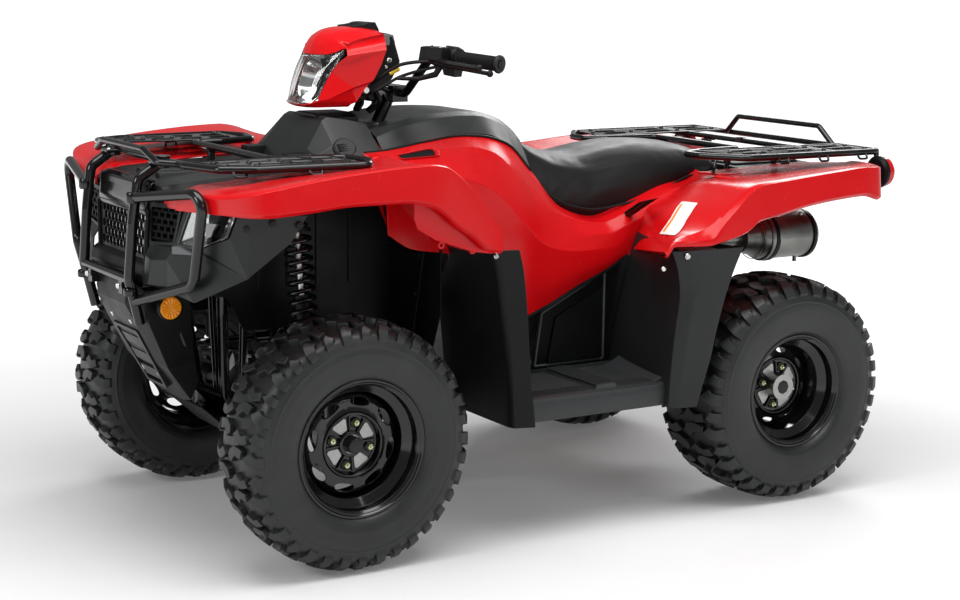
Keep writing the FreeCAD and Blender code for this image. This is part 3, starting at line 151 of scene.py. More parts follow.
CHROME = plastic("reflector_chrome", (0.60, 0.62, 0.61), 0.16, metallic=1.0, vary=0.04)
ZINC = plastic("zinc_nut", (0.62, 0.66, 0.30), 0.30, metallic=0.8, vary=0.15, vary_scale=90)
AMBER = clear("amber_lens", (1.0, 0.34, 0.008), 0.16, transmission=0.15)
RUBY = clear("ruby_lens", (0.62, 0.006, 0.01), 0.10, transmission=0.2)
LENS = clear("clear_lens", (0.97, 0.98, 0.98), 0.01)
SIGNAL = plastic("red_button", (0.72, 0.03, 0.04), 0.4, vary=0.05)
TAG = plastic("yellow_tag", (0.75, 0.58, 0.04), 0.45, vary=0.06)
LABEL = plastic("white_film", (0.80, 0.81, 0.80), 0.4, vary=0.03)
STRIPE = plastic("orange_film", (0.85, 0.27, 0.03), 0.4, vary=0.03)
CORE = plastic("radiator_core", (0.05, 0.05, 0.055), 0.45, metallic=0.6, vary=0.2, vary_scale=60,
               grain=0.3, grain_scale=600)


# Shape tools

# Each entry gives the place of a flat point (a, b) at distance t along the axis.
LAY = {"x": lambda t, a, b: (t, a, b), "y": lambda t, a, b: (a, t, b), "z": lambda t, a, b: (a, b, t)}


def angles(count):
    return [2 * math.pi * k / count for k in range(count)]


def glide(points, steps):
    # A smooth line through the points that doesn't overshoot them.
    points = [Vector(p) for p in points]
    count = len(points)
    if count == 2 or steps == 1:
        runs = count - 1
        return [points[i // steps].lerp(points[min(i // steps + 1, count - 1)], (i % steps) / steps)
                for i in range(runs * steps)] + [points[-1]]
    gaps = [max(1e-6, (b - a).length) for a, b in zip(points, points[1:])]
    slopes = [(b - a) / gap for a, b, gap in zip(points, points[1:], gaps)]
    tangents = [slopes[0].copy()]
    for i in range(1, count - 1):
        tangent = Vector((0, 0, 0))
        for k in range(3):
            before, after = slopes[i - 1][k], slopes[i][k]
            if before * after > 0:
                wa, wb = 2 * gaps[i] + gaps[i - 1], gaps[i] + 2 * gaps[i - 1]
                tangent[k] = (wa + wb) / (wa / before + wb / after)
        tangents.append(tangent)
    tangents.append(slopes[-1].copy())
    line = []
    for i in range(count - 1):
        for step in range(steps):
            t = step / steps
            line.append(points[i] * (2 * t ** 3 - 3 * t ** 2 + 1)
                        + tangents[i] * gaps[i] * (t ** 3 - 2 * t ** 2 + t)
                        + points[i + 1] * (3 * t ** 2 - 2 * t ** 3)
                        + tangents[i + 1] * gaps[i] * (t ** 3 - t ** 2))
    line.append(points[-1])
    return line


def corner_arc(first, corner, last, steps):
    # A round corner from first to last that leans towards the corner.
    return [first * (1 - t) ** 2 + corner * 2 * t * (1 - t) + last * t ** 2
            for t in (step / steps for step in range(steps + 1))]


def bent(points, bend, steps=7):
    # Straight runs with round corners.
    points = [Vector(p) for p in points]
    line = [points[0]]
    for before, corner, after in zip(points, points[1:], points[2:]):
        back = (before - corner).normalized()
        ahead = (after - corner).normalized()
        angle = back.angle(ahead)
        if angle > 3.1:
            line.append(corner)
            continue
        reach = min(bend / math.tan(angle / 2), (before - corner).length * 0.49,
                    (after - corner).length * 0.49)
        line += corner_arc(corner + back * reach, corner, corner + ahead * reach, steps)
    line.append(points[-1])
    return line


class Form:
    """Places in millimetres and faces, gathered into one mesh."""

    def __init__(self):
        self.places = []
        self.faces = []
        self.slots = []

    def add(self, places, faces, slot=0):
        start = len(self.places)
        self.places += [Vector(p) for p in places]
        self.faces += [[start + i for i in face] for face in faces]
        self.slots += [slot] * len(faces)

    def rings(self, rings, closed=True, caps=True, loop=False, slot=0):
        # Skin over rings that have the same number of places.
        size = len(rings[0])
        places = [p for ring in rings for p in ring]
        faces = []
        last = len(rings) if loop else len(rings) - 1
        for r in range(last):
            s = (r + 1) % len(rings)
            for i in range(size if closed else size - 1):
                j = (i + 1) % size
                faces.append([r * size + i, r * size + j, s * size + j, s * size + i])
        if caps and not loop:
            faces.append(list(range(size))[::-1])
            faces.append([(len(rings) - 1) * size + i for i in range(size)])
        self.add(places, faces, slot)

    def tube(self, points, radius, bend=0, sides=16, caps=True, slot=0, smooth=0):
        if bend:
            line = bent(points, bend)
        elif smooth:
            line = glide(points, smooth)
        else:
            line = [Vector(p) for p in points]
        line = [p for i, p in enumerate(line) if i == 0 or (p - line[i - 1]).length > 1e-4]
        radii = radius if isinstance(radius, (list, tuple)) else [radius] * len(line)
        rings = []
        across = None
        for i, p in enumerate(line):
            way = (line[min(i + 1, len(line) - 1)] - line[max(i - 1, 0)]).normalized()
            if across is None:
                across = way.orthogonal().normalized()
            across = (across - way * across.dot(way)).normalized()
            other = way.cross(across)
            rings.append([p + (across * math.cos(a) + other * math.sin(a)) * radii[i]
                          for a in angles(sides)])
        self.rings(rings, caps=caps, slot=slot)

    def box(self, low, high, slot=0):
        xs, ys, zs = zip(low, high)
        self.add([(x, y, z) for x in xs for y in ys for z in zs],
                 [(0, 1, 3, 2), (4, 6, 7, 5), (0, 4, 5, 1), (2, 3, 7, 6), (0, 2, 6, 4), (1, 5, 7, 3)], slot)

    def panels(self, corners, *rows):
        # Flat faces, each a row of the names of its corners.
        for row in rows:
            names = row.split()
            self.add([corners[name] for name in names], [list(range(len(names)))])

    def prism(self, axis, start, end, outline, slot=0):
        self.rings([[LAY[axis](t, a, b) for a, b in outline] for t in (start, end)], slot=slot)

    def turn(self, centre, profile, steps=64, axis="y", slot=0, closed=False, side=1):
        # A profile of radius and distance along the axis, turned round it.
        cx, cy, cz = centre
        rings = []
        for a in angles(steps):
            c, s = math.cos(a), math.sin(a)
            if axis == "y":
                rings.append([(cx + r * c, cy + side * t, cz + r * s) for r, t in profile])
            elif axis == "x":
                rings.append([(cx + side * t, cy + r * c, cz + r * s) for r, t in profile])
            else:
                rings.append([(cx + r * c, cy + r * s, cz + side * t) for r, t in profile])
        self.rings(rings, closed=closed, caps=False, loop=True, slot=slot)

    def sphere(self, centre, radius, slot=0, rings=8, sides=16):
        profile = [(radius * math.sin(math.pi * k / rings), -radius * math.cos(math.pi * k / rings))
                   for k in range(rings + 1)]
        self.turn(centre, profile, sides, "z", slot)

    def mirror(self):
        # The same form again on the other side of the vehicle.
        start = len(self.places)
        count = len(self.faces)
        self.places += [Vector((p.x, -p.y, p.z)) for p in self.places[:start]]
        self.faces += [[start + i for i in face[::-1]] for face in self.faces[:count]]
        self.slots += self.slots[:count]
        return self

    def build(self, name, materials, body, bevel=0.0, segments=2, angle=32, smooth=True, weld=True, wall=0.0,
              offset=-1.0, subdivide=0):
        mesh = bpy.data.meshes.new(name)
        work = bmesh.new()
        verts = [work.verts.new(p * MM) for p in self.places]
        for face, slot in zip(self.faces, self.slots):
            corners = [verts[i] for i in face]
            if len(set(corners)) < 3:
                continue
            try:
                made = work.faces.new(corners)
            except ValueError:
                continue
            made.material_index = slot
            made.smooth = smooth
        if weld:
            bmesh.ops.remove_doubles(work, verts=work.verts, dist=2e-6)
        loose = [vert for vert in work.verts if not vert.link_faces]
        bmesh.ops.delete(work, geom=loose, context="VERTS")
        bmesh.ops.recalc_face_normals(work, faces=work.faces)
        work.to_mesh(mesh)
        work.free()
        piece = bpy.data.objects.new(name, mesh)
        scene.collection.objects.link(piece)
        for material in (materials if isinstance(materials, (list, tuple)) else [materials]):
            mesh.materials.append(material)
        if wall:
            shell = piece.modifiers.new("wall", "SOLIDIFY")
            shell.thickness = wall * MM
            shell.offset = offset
            shell.use_even_offset = True
        if bevel:
            edge = piece.modifiers.new("edge", "BEVEL")
            edge.width = bevel * MM
            edge.segments = segments
            edge.limit_method = "ANGLE"
            edge.angle_limit = math.radians(angle)
            edge.use_clamp_overlap = True
        if subdivide:
            finer = piece.modifiers.new("finer", "SUBSURF")
            finer.levels = finer.render_levels = subdivide
        if smooth:
            weighted = piece.modifiers.new("normals", "WEIGHTED_NORMAL")
            weighted.keep_sharp = True
            mesh.set_sharp_from_angle(angle=math.radians(angle + 6 if not bevel else 80))
        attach(piece, body)
        return piece


def both(form, name, materials, body, **kind):
    return form.mirror().build(name, materials, body, **kind)


def grid_form(stations, along, sharp, across, axis):
    # A sheet through station lines. Lines numbered in sharp stay crisp, the others are rounded over.
    # A point with three numbers is a whole place, one with two lies at its station.
    lines = [[Vector(p if len(p) == 3 else LAY[axis](t, *p)) for p in line] for t, line in stations]
    columns = [glide([line[c] for line in lines], along) for c in range(len(lines[0]))]
    rows = []
    for r in range(len(columns[0])):
        raw = [column[r] for column in columns]
        cuts = sorted(set([0, len(raw) - 1]) | set(sharp))
        row = []
        for a, b in zip(cuts, cuts[1:]):
            row += glide(raw[a:b + 1], across)[:-1]
        row.append(raw[-1])
        rows.append(row)
    form = Form()
    form.rings(rows, closed=False, caps=False)
    return form


def coat(material, *nodes):
    for name in nodes:
        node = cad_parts[name]
        node.data.materials.clear()
        node.data.materials.append(material)


def slab(form, outline, holes, lay, start, end, slot=0):
    # A flat plate with holes. lay(t, a, b) gives the place of an outline point at depth t.
    loops = [outline] + list(holes)
    flat = [[Vector((a, b, 0)) for a, b in loop] for loop in loops]
    triangles = tessellate_polygon(flat)
    points = [p for loop in loops for p in loop]
    count = len(points)
    places = [lay(start, a, b) for a, b in points] + [lay(end, a, b) for a, b in points]
    faces = [list(t) for t in triangles] + [[i + count for i in reversed(t)] for t in triangles]
    first = 0
    for loop in loops:
        size = len(loop)
        for i in range(size):
            a, b = first + i, first + (i + 1) % size
            faces.append([a, b, b + count, a + count])
        first += size
    form.add(places, faces, slot)


def rounded(points, radius, steps=4):
    # A flat outline with round corners.
    points = [Vector((a, b, 0)) for a, b in points]
    line = []
    count = len(points)
    for i, corner in enumerate(points):
        back, ahead = points[i - 1] - corner, points[(i + 1) % count] - corner
        reach = min(radius, back.length * 0.45, ahead.length * 0.45)
        first, last = corner + back.normalized() * reach, corner + ahead.normalized() * reach
        line += [(p.x, p.y) for p in corner_arc(first, corner, last, steps)]
    return line


def on_plane(origin, across, up):
    # Lays flat outlines on a plane; depth runs along its normal.
    origin, across, up = Vector(origin), Vector(across).normalized(), Vector(up)
    up = (up - across * up.dot(across)).normalized()
    normal = across.cross(up)
    return lambda t, a, b: origin + across * a + up * b + normal * t


def skin(form, rows, along=4, across=4, slot=0):
    # An open skin through rows of places.
    columns = [glide(list(column), along) for column in zip(*rows)]
    form.rings([glide(list(line), across) for line in zip(*columns)], closed=False, caps=False, slot=slot)


def laid_on(surface, place, facing, back, reach, lift):
    # The place brought to the surface against its facing, then lifted off it.
    found = surface.ray_cast(place + facing * back, -facing, reach)[0]
    return (found or place) + facing * lift


def both_halves(rows):
    # Rows given for one side, carried on over the middle.
    return [(x, half + [(-y, z) for y, z in half[::-1]]) for x, half in rows]


def bolt(form, where, way, radius=6, slot=0, head=4):
    # A flanged button head on a surface that faces the given way.
    start = Vector(where)
    way = Vector(way).normalized()
    form.tube([start + way * rise for rise in (-2, 1.2, 1.2, head - 1, head)],
              [radius * 1.35, radius * 1.35, radius, radius, radius * 0.7], sides=16, slot=slot)


# Wheels

TYRE_RADIUS = 300
AXLE_Z = 300
MM_A_DEGREE = 5.1
WHEELS = {
    "front": dict(x=647, y=467, half=102.5, rim_half=90, flange=166, dish=38, pitches=18, deep=False),
    "rear": dict(x=-647, y=464, half=125, rim_half=108, flange=153, dish=38, pitches=18, deep=True),
}


def carcass(half, flange, rim_half):
    # Section of the casing from the crown to the bead, as radius and distance from the middle.
    shoulder = [(TYRE_RADIUS - down, half * share, 0) for down, share in
                ((14, 0), (15, 0.35), (20, 0.68), (33, 0.89), (50, 0.962), (70, 0.995))]
    return glide(shoulder + [((TYRE_RADIUS + flange) / 2 - 8, half, 0), (flange + 22, half * 0.975, 0),
                             (flange + 8, half * 0.93, 0), (flange + 2.5, rim_half + 1.5, 0),
                             (flange - 1, rim_half - 2, 0), (flange - 12, rim_half - 4, 0)], 4)


def crown(half, points):
    # A line from the middle round the shoulder; points are drops from the tyre's radius and shares of half.
    return glide([(TYRE_RADIUS - down, half * share, 0) for down, share in points], 6)


LUG_TOPS = ((0, 0), (0.8, 0.35), (6, 0.70), (21, 0.92), (40, 0.985))
LUG_FEET = ((14, 0), (15, 0.35), (20, 0.68), (33, 0.885), (46, 0.945))
LUG_SINK = 1.2


def raised(line, rings, start):
    # The sidewall's line past start, lifted by rings of a radius, a height and a width.
    lifted = []
    for p in line:
        rise = sum(high * math.exp(-((p.x - radius) / wide) ** 2) for radius, high, wide in rings)
        lifted.append((p.x, p.y + (rise if p.y > start else 0), 0))
    return lifted


def along_line(line, share):
    # The place at a share of the line's number of points.
    spot = max(0.0, min(0.9999, share)) * (len(line) - 1)
    whole = int(spot)
    return line[whole].lerp(line[whole + 1], spot - whole)


def lug(form, kind, side, turn, path, width, draft=1.5):
    # A tread block along a path of angle (degrees) and share of the way from crown to shoulder.
    tops, base, span = kind["tops"], kind["base"], kind["span"]
    places = glide([(a, s, 0) for a, s in path], 2) if len(path) > 2 else [Vector((a, s, 0)) for a, s in path]
    rings = []
    for i, spot in enumerate(places):
        ahead = places[min(i + 1, len(places) - 1)] - places[max(i - 1, 0)]
        # Angle and share are brought to millimetres so that the block keeps its width.
        way = Vector((ahead.x * MM_A_DEGREE, ahead.y * span, 0)).normalized()
        normal = Vector((-way.y / MM_A_DEGREE, way.x / span, 0))
        at_end = i in (0, len(places) - 1)
        ring = []
        for line, reach in ((base, width / 2 + draft), (tops, width / 2), (tops, -width / 2),
                            (base, -width / 2 - draft)):
            where = spot + normal * reach
            if line is base and at_end:
                sign = 1 if i else -1
                where = where + Vector((way.x / MM_A_DEGREE, way.y / span, 0)) * (draft * sign)
            on = along_line(line, where.y)
            a = math.radians(where.x + turn)
            ring.append((kind["x"] + on.x * math.cos(a), kind["y"] + side * on.y,
                         AXLE_Z + on.x * math.sin(a)))
        rings.append(ring)
    form.rings(rings, slot=0)


FRONT_TREAD = [
    # path and width, once on each side for every pitch
    ([(0.0, 0.04), (4.2, 0.22), (3.2, 0.40)], 22),
    ([(12.4, 0.16), (9.4, 0.34), (10.8, 0.50)], 20),
    ([(3.5, 0.54), (0.5, 0.74), (0.5, 0.985)], 26),
    ([(12.8, 0.64), (10.8, 0.78), (10.8, 0.93)], 23),
]
REAR_TREAD = [
    ([(0.0, 0.03), (5.0, 0.24), (3.8, 0.42)], 26),
    ([(13.0, 0.12), (10.0, 0.30), (11.0, 0.45)], 22),
    ([(4.5, 0.50), (1.0, 0.72), (1.0, 0.985)], 32),
    ([(13.0, 0.58), (11.0, 0.75), (11.0, 0.95)], 27),
]


def tyre(kind, side, name, body):
    half = kind["half"]
    outer_ring, inner_ring = TYRE_RADIUS - 57, kind["flange"] + 30
    form = Form()
    section = carcass(half, kind["flange"], kind["rim_half"])
    section = glide(raised(section, ((outer_ring, 1.6, 1.6), (inner_ring, 0.9, 1.4)), -1), 2)
    section = raised(section, ((outer_ring, 1.5, 1.3), (inner_ring, 0.8, 1.2)), half * 0.5)
    outline = [(r, -t) for r, t, _ in section[::-1]] + [(r, t) for r, t, _ in section[1:]]
    form.turn((kind["x"], side * kind["y"], AXLE_Z), outline, 160)
    tops = crown(half, LUG_TOPS)
    base = [Vector((p.x - LUG_SINK, p.y, 0)) for p in crown(half, LUG_FEET)]
    place_of = dict(kind, y=side * kind["y"], tops=tops, base=base,
                    span=sum((b - a).length for a, b in zip(tops, tops[1:])))
    step = 360 / kind["pitches"]
    pattern = REAR_TREAD if kind["deep"] else FRONT_TREAD
    for pitch in range(kind["pitches"]):
        for half_side, offset in ((1, 0), (-1, step / 2)):
            for path, width in pattern:
                lug(form, place_of, half_side, pitch * step + offset, path, width)
    piece = form.build(name, RUBBER, body, bevel=1.1, segments=2, angle=38, weld=False)
    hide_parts(name.replace("_skin", ""))


def slotted_disc(form, centre, side, line, count, hole, first=0.0, steps=10, wall=3.0, slot=0):
    # A pressed disc from an inner to an outer radius with oval slots. line gives its depth at a radius.
    inner, outer = line[0][0], line[-1][0]

    def depth(r):
        for (r0, t0), (r1, t1) in zip(line, line[1:]):
            if r <= r1:
                return t0 + (t1 - t0) * max(0.0, (r - r0) / (r1 - r0))
        return line[-1][1]

    middle, tall, wide = hole
    step = 2 * math.pi / count
    for k in range(count):
        around = []
        # Edge of one sector, then the oval, joined by rings.
        a0, a1 = -step / 2, step / 2
        corners = [(outer, a0), (outer, a1), (inner, a1), (inner, a0), (outer, a0)]
        for i in range(8 * steps):
            share = i / (2 * steps)
            leg, part = int(share), share - int(share)
            (r0, t0), (r1, t1) = corners[leg], corners[leg + 1]
            edge = (r0 + (r1 - r0) * part, t0 + (t1 - t0) * part)
            t = math.atan2((edge[0] - middle), edge[1] * middle)
            oval = (middle + tall / 2 * math.sin(t), wide / 2 * math.cos(t) / middle)
            around.append((edge, oval))
        rings = []
        for blend in (0, 0.35, 0.7, 1):
            ring = []
            for edge, oval in around:
                r = edge[0] + (oval[0] - edge[0]) * blend
                a = edge[1] + (oval[1] - edge[1]) * blend + k * step + first
                ring.append((centre[0] + r * math.cos(a), centre[1] + side * depth(r),
                             centre[2] + r * math.sin(a)))
            rings.append(ring)
        lip = [(p[0], p[1] - side * wall, p[2]) for p in rings[-1]]
        rings.append(lip)
        form.rings(rings, caps=False, slot=slot)


def rim(kind, side, name, body):
    centre = (kind["x"], side * kind["y"], AXLE_Z)
    lip, seat, well = kind["flange"], kind["flange"] - 14, kind["flange"] - 36
    edge, dish = kind["rim_half"], kind["dish"]
    form = Form()
    # Barrel: rolled outer lip, bead seat, drop centre, inner lip, then back along the inside
    curl = [(lip + 3.2 * math.cos(a) - 3.2, edge - 2.4 + 3.0 * math.sin(a))
            for a in (math.pi * k / 8 - math.pi / 2 for k in range(9))]
    barrel = [(lip - 6.5, edge + 0.4), (lip - 9, edge - 3), (seat - 3, edge - 10), (seat - 4, edge - 32),
              (well - 2, edge - 47), (well - 3, dish - 24), (well - 3, -edge + 50), (seat - 3, -edge + 34),
              (seat - 3, -edge + 6), (lip - 6, -edge + 2), (lip, -edge), (lip, -edge + 3), (seat, -edge + 6),
              (seat, -edge + 33), (well, -edge + 50), (well, edge - 49), (seat, edge - 33), (seat, edge - 8),
              (lip, edge - 5)]
    form.turn(centre, [(lip, edge - 5)] + curl + barrel, 128, side=side, closed=True)
    ring_r = 74
    if kind["deep"]:
        face = [(ring_r + 6, dish - 10), (ring_r + 14, dish - 14), (well - 12, dish - 20),
                (well - 2.5, dish - 26)]
        slotted_disc(form, centre, side, face, 8, ((ring_r + well) / 2, 13, 34), first=0.2)
    else:
        face = [(ring_r + 6, dish + 1), (ring_r + 12, dish - 1), (well - 22, dish - 3), (well - 8, dish - 12),
                (well - 2.5, dish - 26)]
        slotted_disc(form, centre, side, face, 8, (104, 21, 52), first=0.2)
    start = face[0][1]
    form.turn(centre, [(ring_r + 6, start), (ring_r + 4, start + 3.4), (ring_r + 1, start + 4.6),
                       (ring_r - 2, start + 3.4), (ring_r - 4, start - 4), (ring_r - 5, dish - 13),
                       (ring_r - 10, dish - 14), (30, dish - 14)], 96, side=side)
    form.turn(centre, [(30, dish - 17), (ring_r - 3, dish - 17), (ring_r + 3, start - 2),
                       (ring_r + 6, start - 3)], 96, side=side)
    piece = form.build(name, RIM, body, bevel=0.8, segments=2, angle=40)
    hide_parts(name.replace("_skin", ""))
    hub_face(centre, side, dish - 13.5, name.replace("rim", "hub_face"), body, kind["deep"])


def hub_face(centre, side, base, name, body, deep):
    # Bright windows between black ribs, four nuts and the cap over the axle nut
    hub = Form()

    def around(r, a, t):
        return (centre[0] + r * math.cos(a), centre[1] + side * t, centre[2] + r * math.sin(a))

    for k in range(4):
        turn = math.radians(45 + 90 * k + 14)
        arc = ((36, -0.30), (60, -0.34), (64, -0.26), (64, 0.26), (60, 0.34), (36, 0.30), (33, 0.2),
               (33, -0.2))
        hub.rings([[around(r, turn + a, t) for r, a in arc] for t in (base - 1, base + 2.4)])
        for rib in (turn + 0.47, turn - 0.47):
            hub.rings([[around(r, rib + w / r, t) for r, w in ((31, -1.6), (65, -1.6), (65, 1.6), (31, 1.6))]
                       for t in (base - 1, base + 6.0)], slot=1)
        spot = around(51, math.radians(90 * k + 14), base)
        hub.turn(spot, [(12.5, -1), (12.5, 4), (10.5, 6), (9, 6)], 24, side=side, slot=1)
        hub.turn(spot, [(8.5, -1), (8.5, 9), (7.2, 12.5), (3.4, 13.5)], 6, side=side, slot=2)
        hub.turn(spot, [(3.4, 12), (3.4, 17), (2.6, 18), (0.01, 18)], 12, side=side, slot=3)
    hub.turn(centre, [(31, base - 1), (31, base + 8), (28, base + 10), (22, base + 10)], 48, side=side,
             slot=1)
    cap_top = base + 34
    hub.turn(centre, [(22, base + 2), (21, cap_top - 8), (19.5, cap_top - 2), (16, cap_top), (0.01, cap_top)],
             8, side=side, slot=4)
    piece = hub.build(name, [ALLOY, RIM, ZINC, STEEL, GREY], body, bevel=0.6, segments=2, angle=40)
    if not deep:
        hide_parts("hub_front_" + ("left" if side > 0 else "right"))


for end, kind in WHEELS.items():
    for side, which in ((1, "left"), (-1, "right")):
        body = "rear_wheels" if end == "rear" else "wheel_front_" + which
        tyre(kind, side, "tyre_%s_%s_skin" % (end, which), body)
        rim(kind, side, "rim_%s_%s_skin" % (end, which), body)


# Sheets of moulded plastic

def sheet_form(stations, wall=4.0, along=6, across=3, sharp=(), axis="x", flip=False):
    # A closed sheet through station lines, thickened away from its outer face.
    places = grid_form(stations, along, sharp, across, axis).places
    columns = (len(stations[0][1]) - 1) * across + 1
    rows = [places[i:i + columns] for i in range(0, len(places), columns)]
    inner = []
    for r, row in enumerate(rows):
        line = []
        for c, p in enumerate(row):
            down = rows[min(r + 1, len(rows) - 1)][c] - rows[max(r - 1, 0)][c]
            across_way = row[min(c + 1, columns - 1)] - row[max(c - 1, 0)]
            normal = down.cross(across_way)
            if normal.length > 1e-9:
                normal.normalize()
            line.append(p + normal * (wall if flip else -wall))
        inner.append(line)
    form = Form()
    form.rings([row + back[::-1] for row, back in zip(rows, inner)])
    return form


CREST = 588
FRONT_FENDER = [
    (988, [(291, 846), (297, 850), (300, 872), (290, 874), (260, 872), (223, 868)]),
    (970, [(386, 850), (393, 855), (400, 884), (386, 887), (300, 884), (229, 876)]),
    (948, [(464, 853), (472, 858), (481, 890), (462, 894), (300, 888), (235, 880)]),
    (908, [(562, 857), (577, 864), (570, 908), (546, 911), (380, 901), (240, 891)]),
    (870, [(584, 860), (595, 867), (588, 917), (566, 919), (384, 905), (239, 893)]),
    (807, [(CREST - 4, 864), (CREST + 8, 870), (CREST, 927), (CREST - 20, 928), (400, 914), (236, 898)]),
    (680, [(CREST - 2, 874), (CREST + 10, 880), (CREST + 2, 942), (CREST - 18, 942), (400, 922), (236, 906)]),
    (560, [(CREST, 874), (CREST + 12, 880), (CREST + 4, 951), (CREST - 16, 950), (400, 930), (240, 914)]),
    (490, [(CREST, 861), (CREST + 12, 868), (CREST + 4, 953), (CREST - 16, 952), (400, 938), (244, 930)]),
    (450, [(CREST - 2, 838), (CREST + 10, 845), (CREST + 3, 947), (CREST - 17, 947), (410, 937), (250, 936)]),
    (425, [(CREST - 4, 815), (CREST + 8, 822), (CREST, 933), (CREST - 20, 935), (420, 932), (256, 940)]),
    (375, [(CREST - 8, 783), (CREST + 4, 790), (CREST - 4, 890), (CREST - 24, 894), (440, 890), (300, 902)]),
    (324, [(CREST - 12, 745), (CREST, 752), (CREST - 8, 830), (CREST - 26, 834), (460, 828), (330, 838)]),
    (290, [(CREST - 16, 738), (CREST - 4, 744), (CREST - 12, 788), (CREST - 28, 790), (480, 782),
           (340, 788)])]


def front_fenders():
    form = sheet_form(FRONT_FENDER, 4, 5, 3, sharp=(1, 2, 3), flip=True)
    piece = both(form, "front_fender_skins", RED, "chassis", bevel=1.8, segments=3, angle=26)
    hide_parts("front_fenders")
    # Narrow band over the lamp, from the hood out to the fender's corner
    brow = Form()
    brow.rings([[(x, y, low), (x, y, low + 27), (x - 7, y - 3, low + 27), (x - 7, y - 3, low)]
                for x, y, low in ((991, 223, 845), (988, 298, 847), (971, 392, 851), (949, 471, 855),
                                  (912, 566, 861))])
    both(brow, "front_fender_bands", RED, "chassis", bevel=1.8, segments=3)
    # Red box inside the arch, behind the wheel, with its two tabs
    inner = Form()
    inner.rings([
        [(520, 566, 866), (520, 566, 830), (508, 560, 806),
         (430, 520, 780), (430, 470, 780), (520, 470, 866)],
        [(470, 568, 862), (470, 568, 800), (462, 562, 778),
         (420, 524, 760), (420, 470, 760), (470, 470, 862)],
        [(360, 566, 820), (360, 566, 752), (356, 560, 742),
         (348, 520, 738), (348, 470, 738), (360, 470, 820)],
        [(306, 566, 790), (306, 566, 738), (304, 560, 734),
         (300, 520, 732), (300, 470, 732), (306, 470, 790)]])
    for x in (438, 352):
        inner.turn((x, 548, 744 if x < 400 else 762), [(9, -3), (9, 3), (4, 3), (4, -3)], 18, closed=True)
    both(inner, "front_arch_boxes", RED, "chassis", bevel=4, segments=3, angle=30)


SIDE_COVER = [
    (462, [(334, 760), (330, 812), (322, 862), (300, 890), (256, 938), (212, 944)]),
    (400, [(338, 722), (335, 800), (327, 884), (302, 908), (258, 940), (212, 948)]),
    (282, [(342, 700), (338, 790), (330, 888), (304, 916), (260, 950), (212, 966)]),
    (190, [(330, 640), (328, 735), (319, 868), (296, 905), (258, 952), (210, 976)]),
    (120, [(314, 578), (314, 690), (308, 828), (286, 880), (254, 938), (206, 972)]),
    (40, [(296, 508), (304, 620), (300, 752), (278, 812), (246, 880), (198, 950)]),
    (-40, [(272, 532), (286, 600), (286, 690), (268, 738), (240, 800), (192, 876)]),
    (-140, [(262, 572), (275, 616), (273, 670), (256, 706), (226, 752), (190, 772)]),
    (-250, [(250, 610), (259, 636), (258, 668), (250, 704), (224, 730), (190, 737)]),
    (-320, [(242, 640), (249, 656), (251, 690), (247, 726), (228, 750), (190, 756)]),
    (-400, [(240, 664), (248, 684), (249, 716), (246, 752), (228, 776), (191, 784)]),
    (-480, [(236, 694), (242, 716), (243, 750), (238, 784), (222, 802), (192, 808)]),
    (-560, [(234, 730), (240, 752), (242, 778), (236, 802), (222, 818), (193, 820)]),
    (-610, [(228, 760), (234, 780), (236, 806), (230, 826), (218, 838), (194, 842)])]


def side_covers():
    flanged = [(x, line + [(line[-1][0] - 42, line[-1][1] + 10)]) for x, line in SIDE_COVER]
    form = sheet_form(flanged, 4, 6, 3, sharp=(2, 3, 4, 5), flip=True)
    cover = BVHTree.FromPolygons(form.places, form.faces)
    piece = both(form, "side_cover_skins", RED, "chassis", bevel=2.5, segments=3, angle=14)
    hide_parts("side_covers")
    # Dark vent in a red collar, laid on the cover
    vent = Form()
    facing = Vector((0, 0.7, 0.7)).normalized()
    line = rounded([(404, 940), (300, 957), (284, 948), (290, 916), (396, 918)], 8, 4)
    middle = Vector((345, 262, 936))
    for slot, steps in ((0, ((0.02, 1.6), (0.3, 1.6), (0.6, 1.8), (0.86, 1.8))),
                        (1, ((0.86, 1.8), (0.9, 4.5), (1.0, 5.0), (1.08, 1.0)))):
        vent.rings([[laid_on(cover, middle.lerp(Vector((x, middle.y, z)), k), facing, 120, 260, lift)
                     for x, z in line] for k, lift in steps], caps=False, slot=slot)
    both(vent, "side_vents", [DARK, RED], "chassis")
    trim = Form()
    trim.tube([(x, line[-1][0] + 5, line[-1][1] + 3) for x, line in SIDE_COVER[:7]], 3.6, smooth=5, sides=8)
    both(trim, "side_cover_trims", DARK, "chassis")
    # Dark seam cover between the side cover and the panel below it
    seam = Form()
    seam.tube([(52, 303, 508), (-40, 280, 530), (-140, 268, 570), (-250, 254, 610), (-322, 245, 646)], 5,
              smooth=5, sides=8)
    seam.tube([(-333, 258, 657), (-346, 258, 692), (-362, 257, 728), (-385, 253, 770)], 2.8, smooth=4,
              sides=8)
    both(seam, "side_cover_edges", DARK, "chassis", smooth=True)


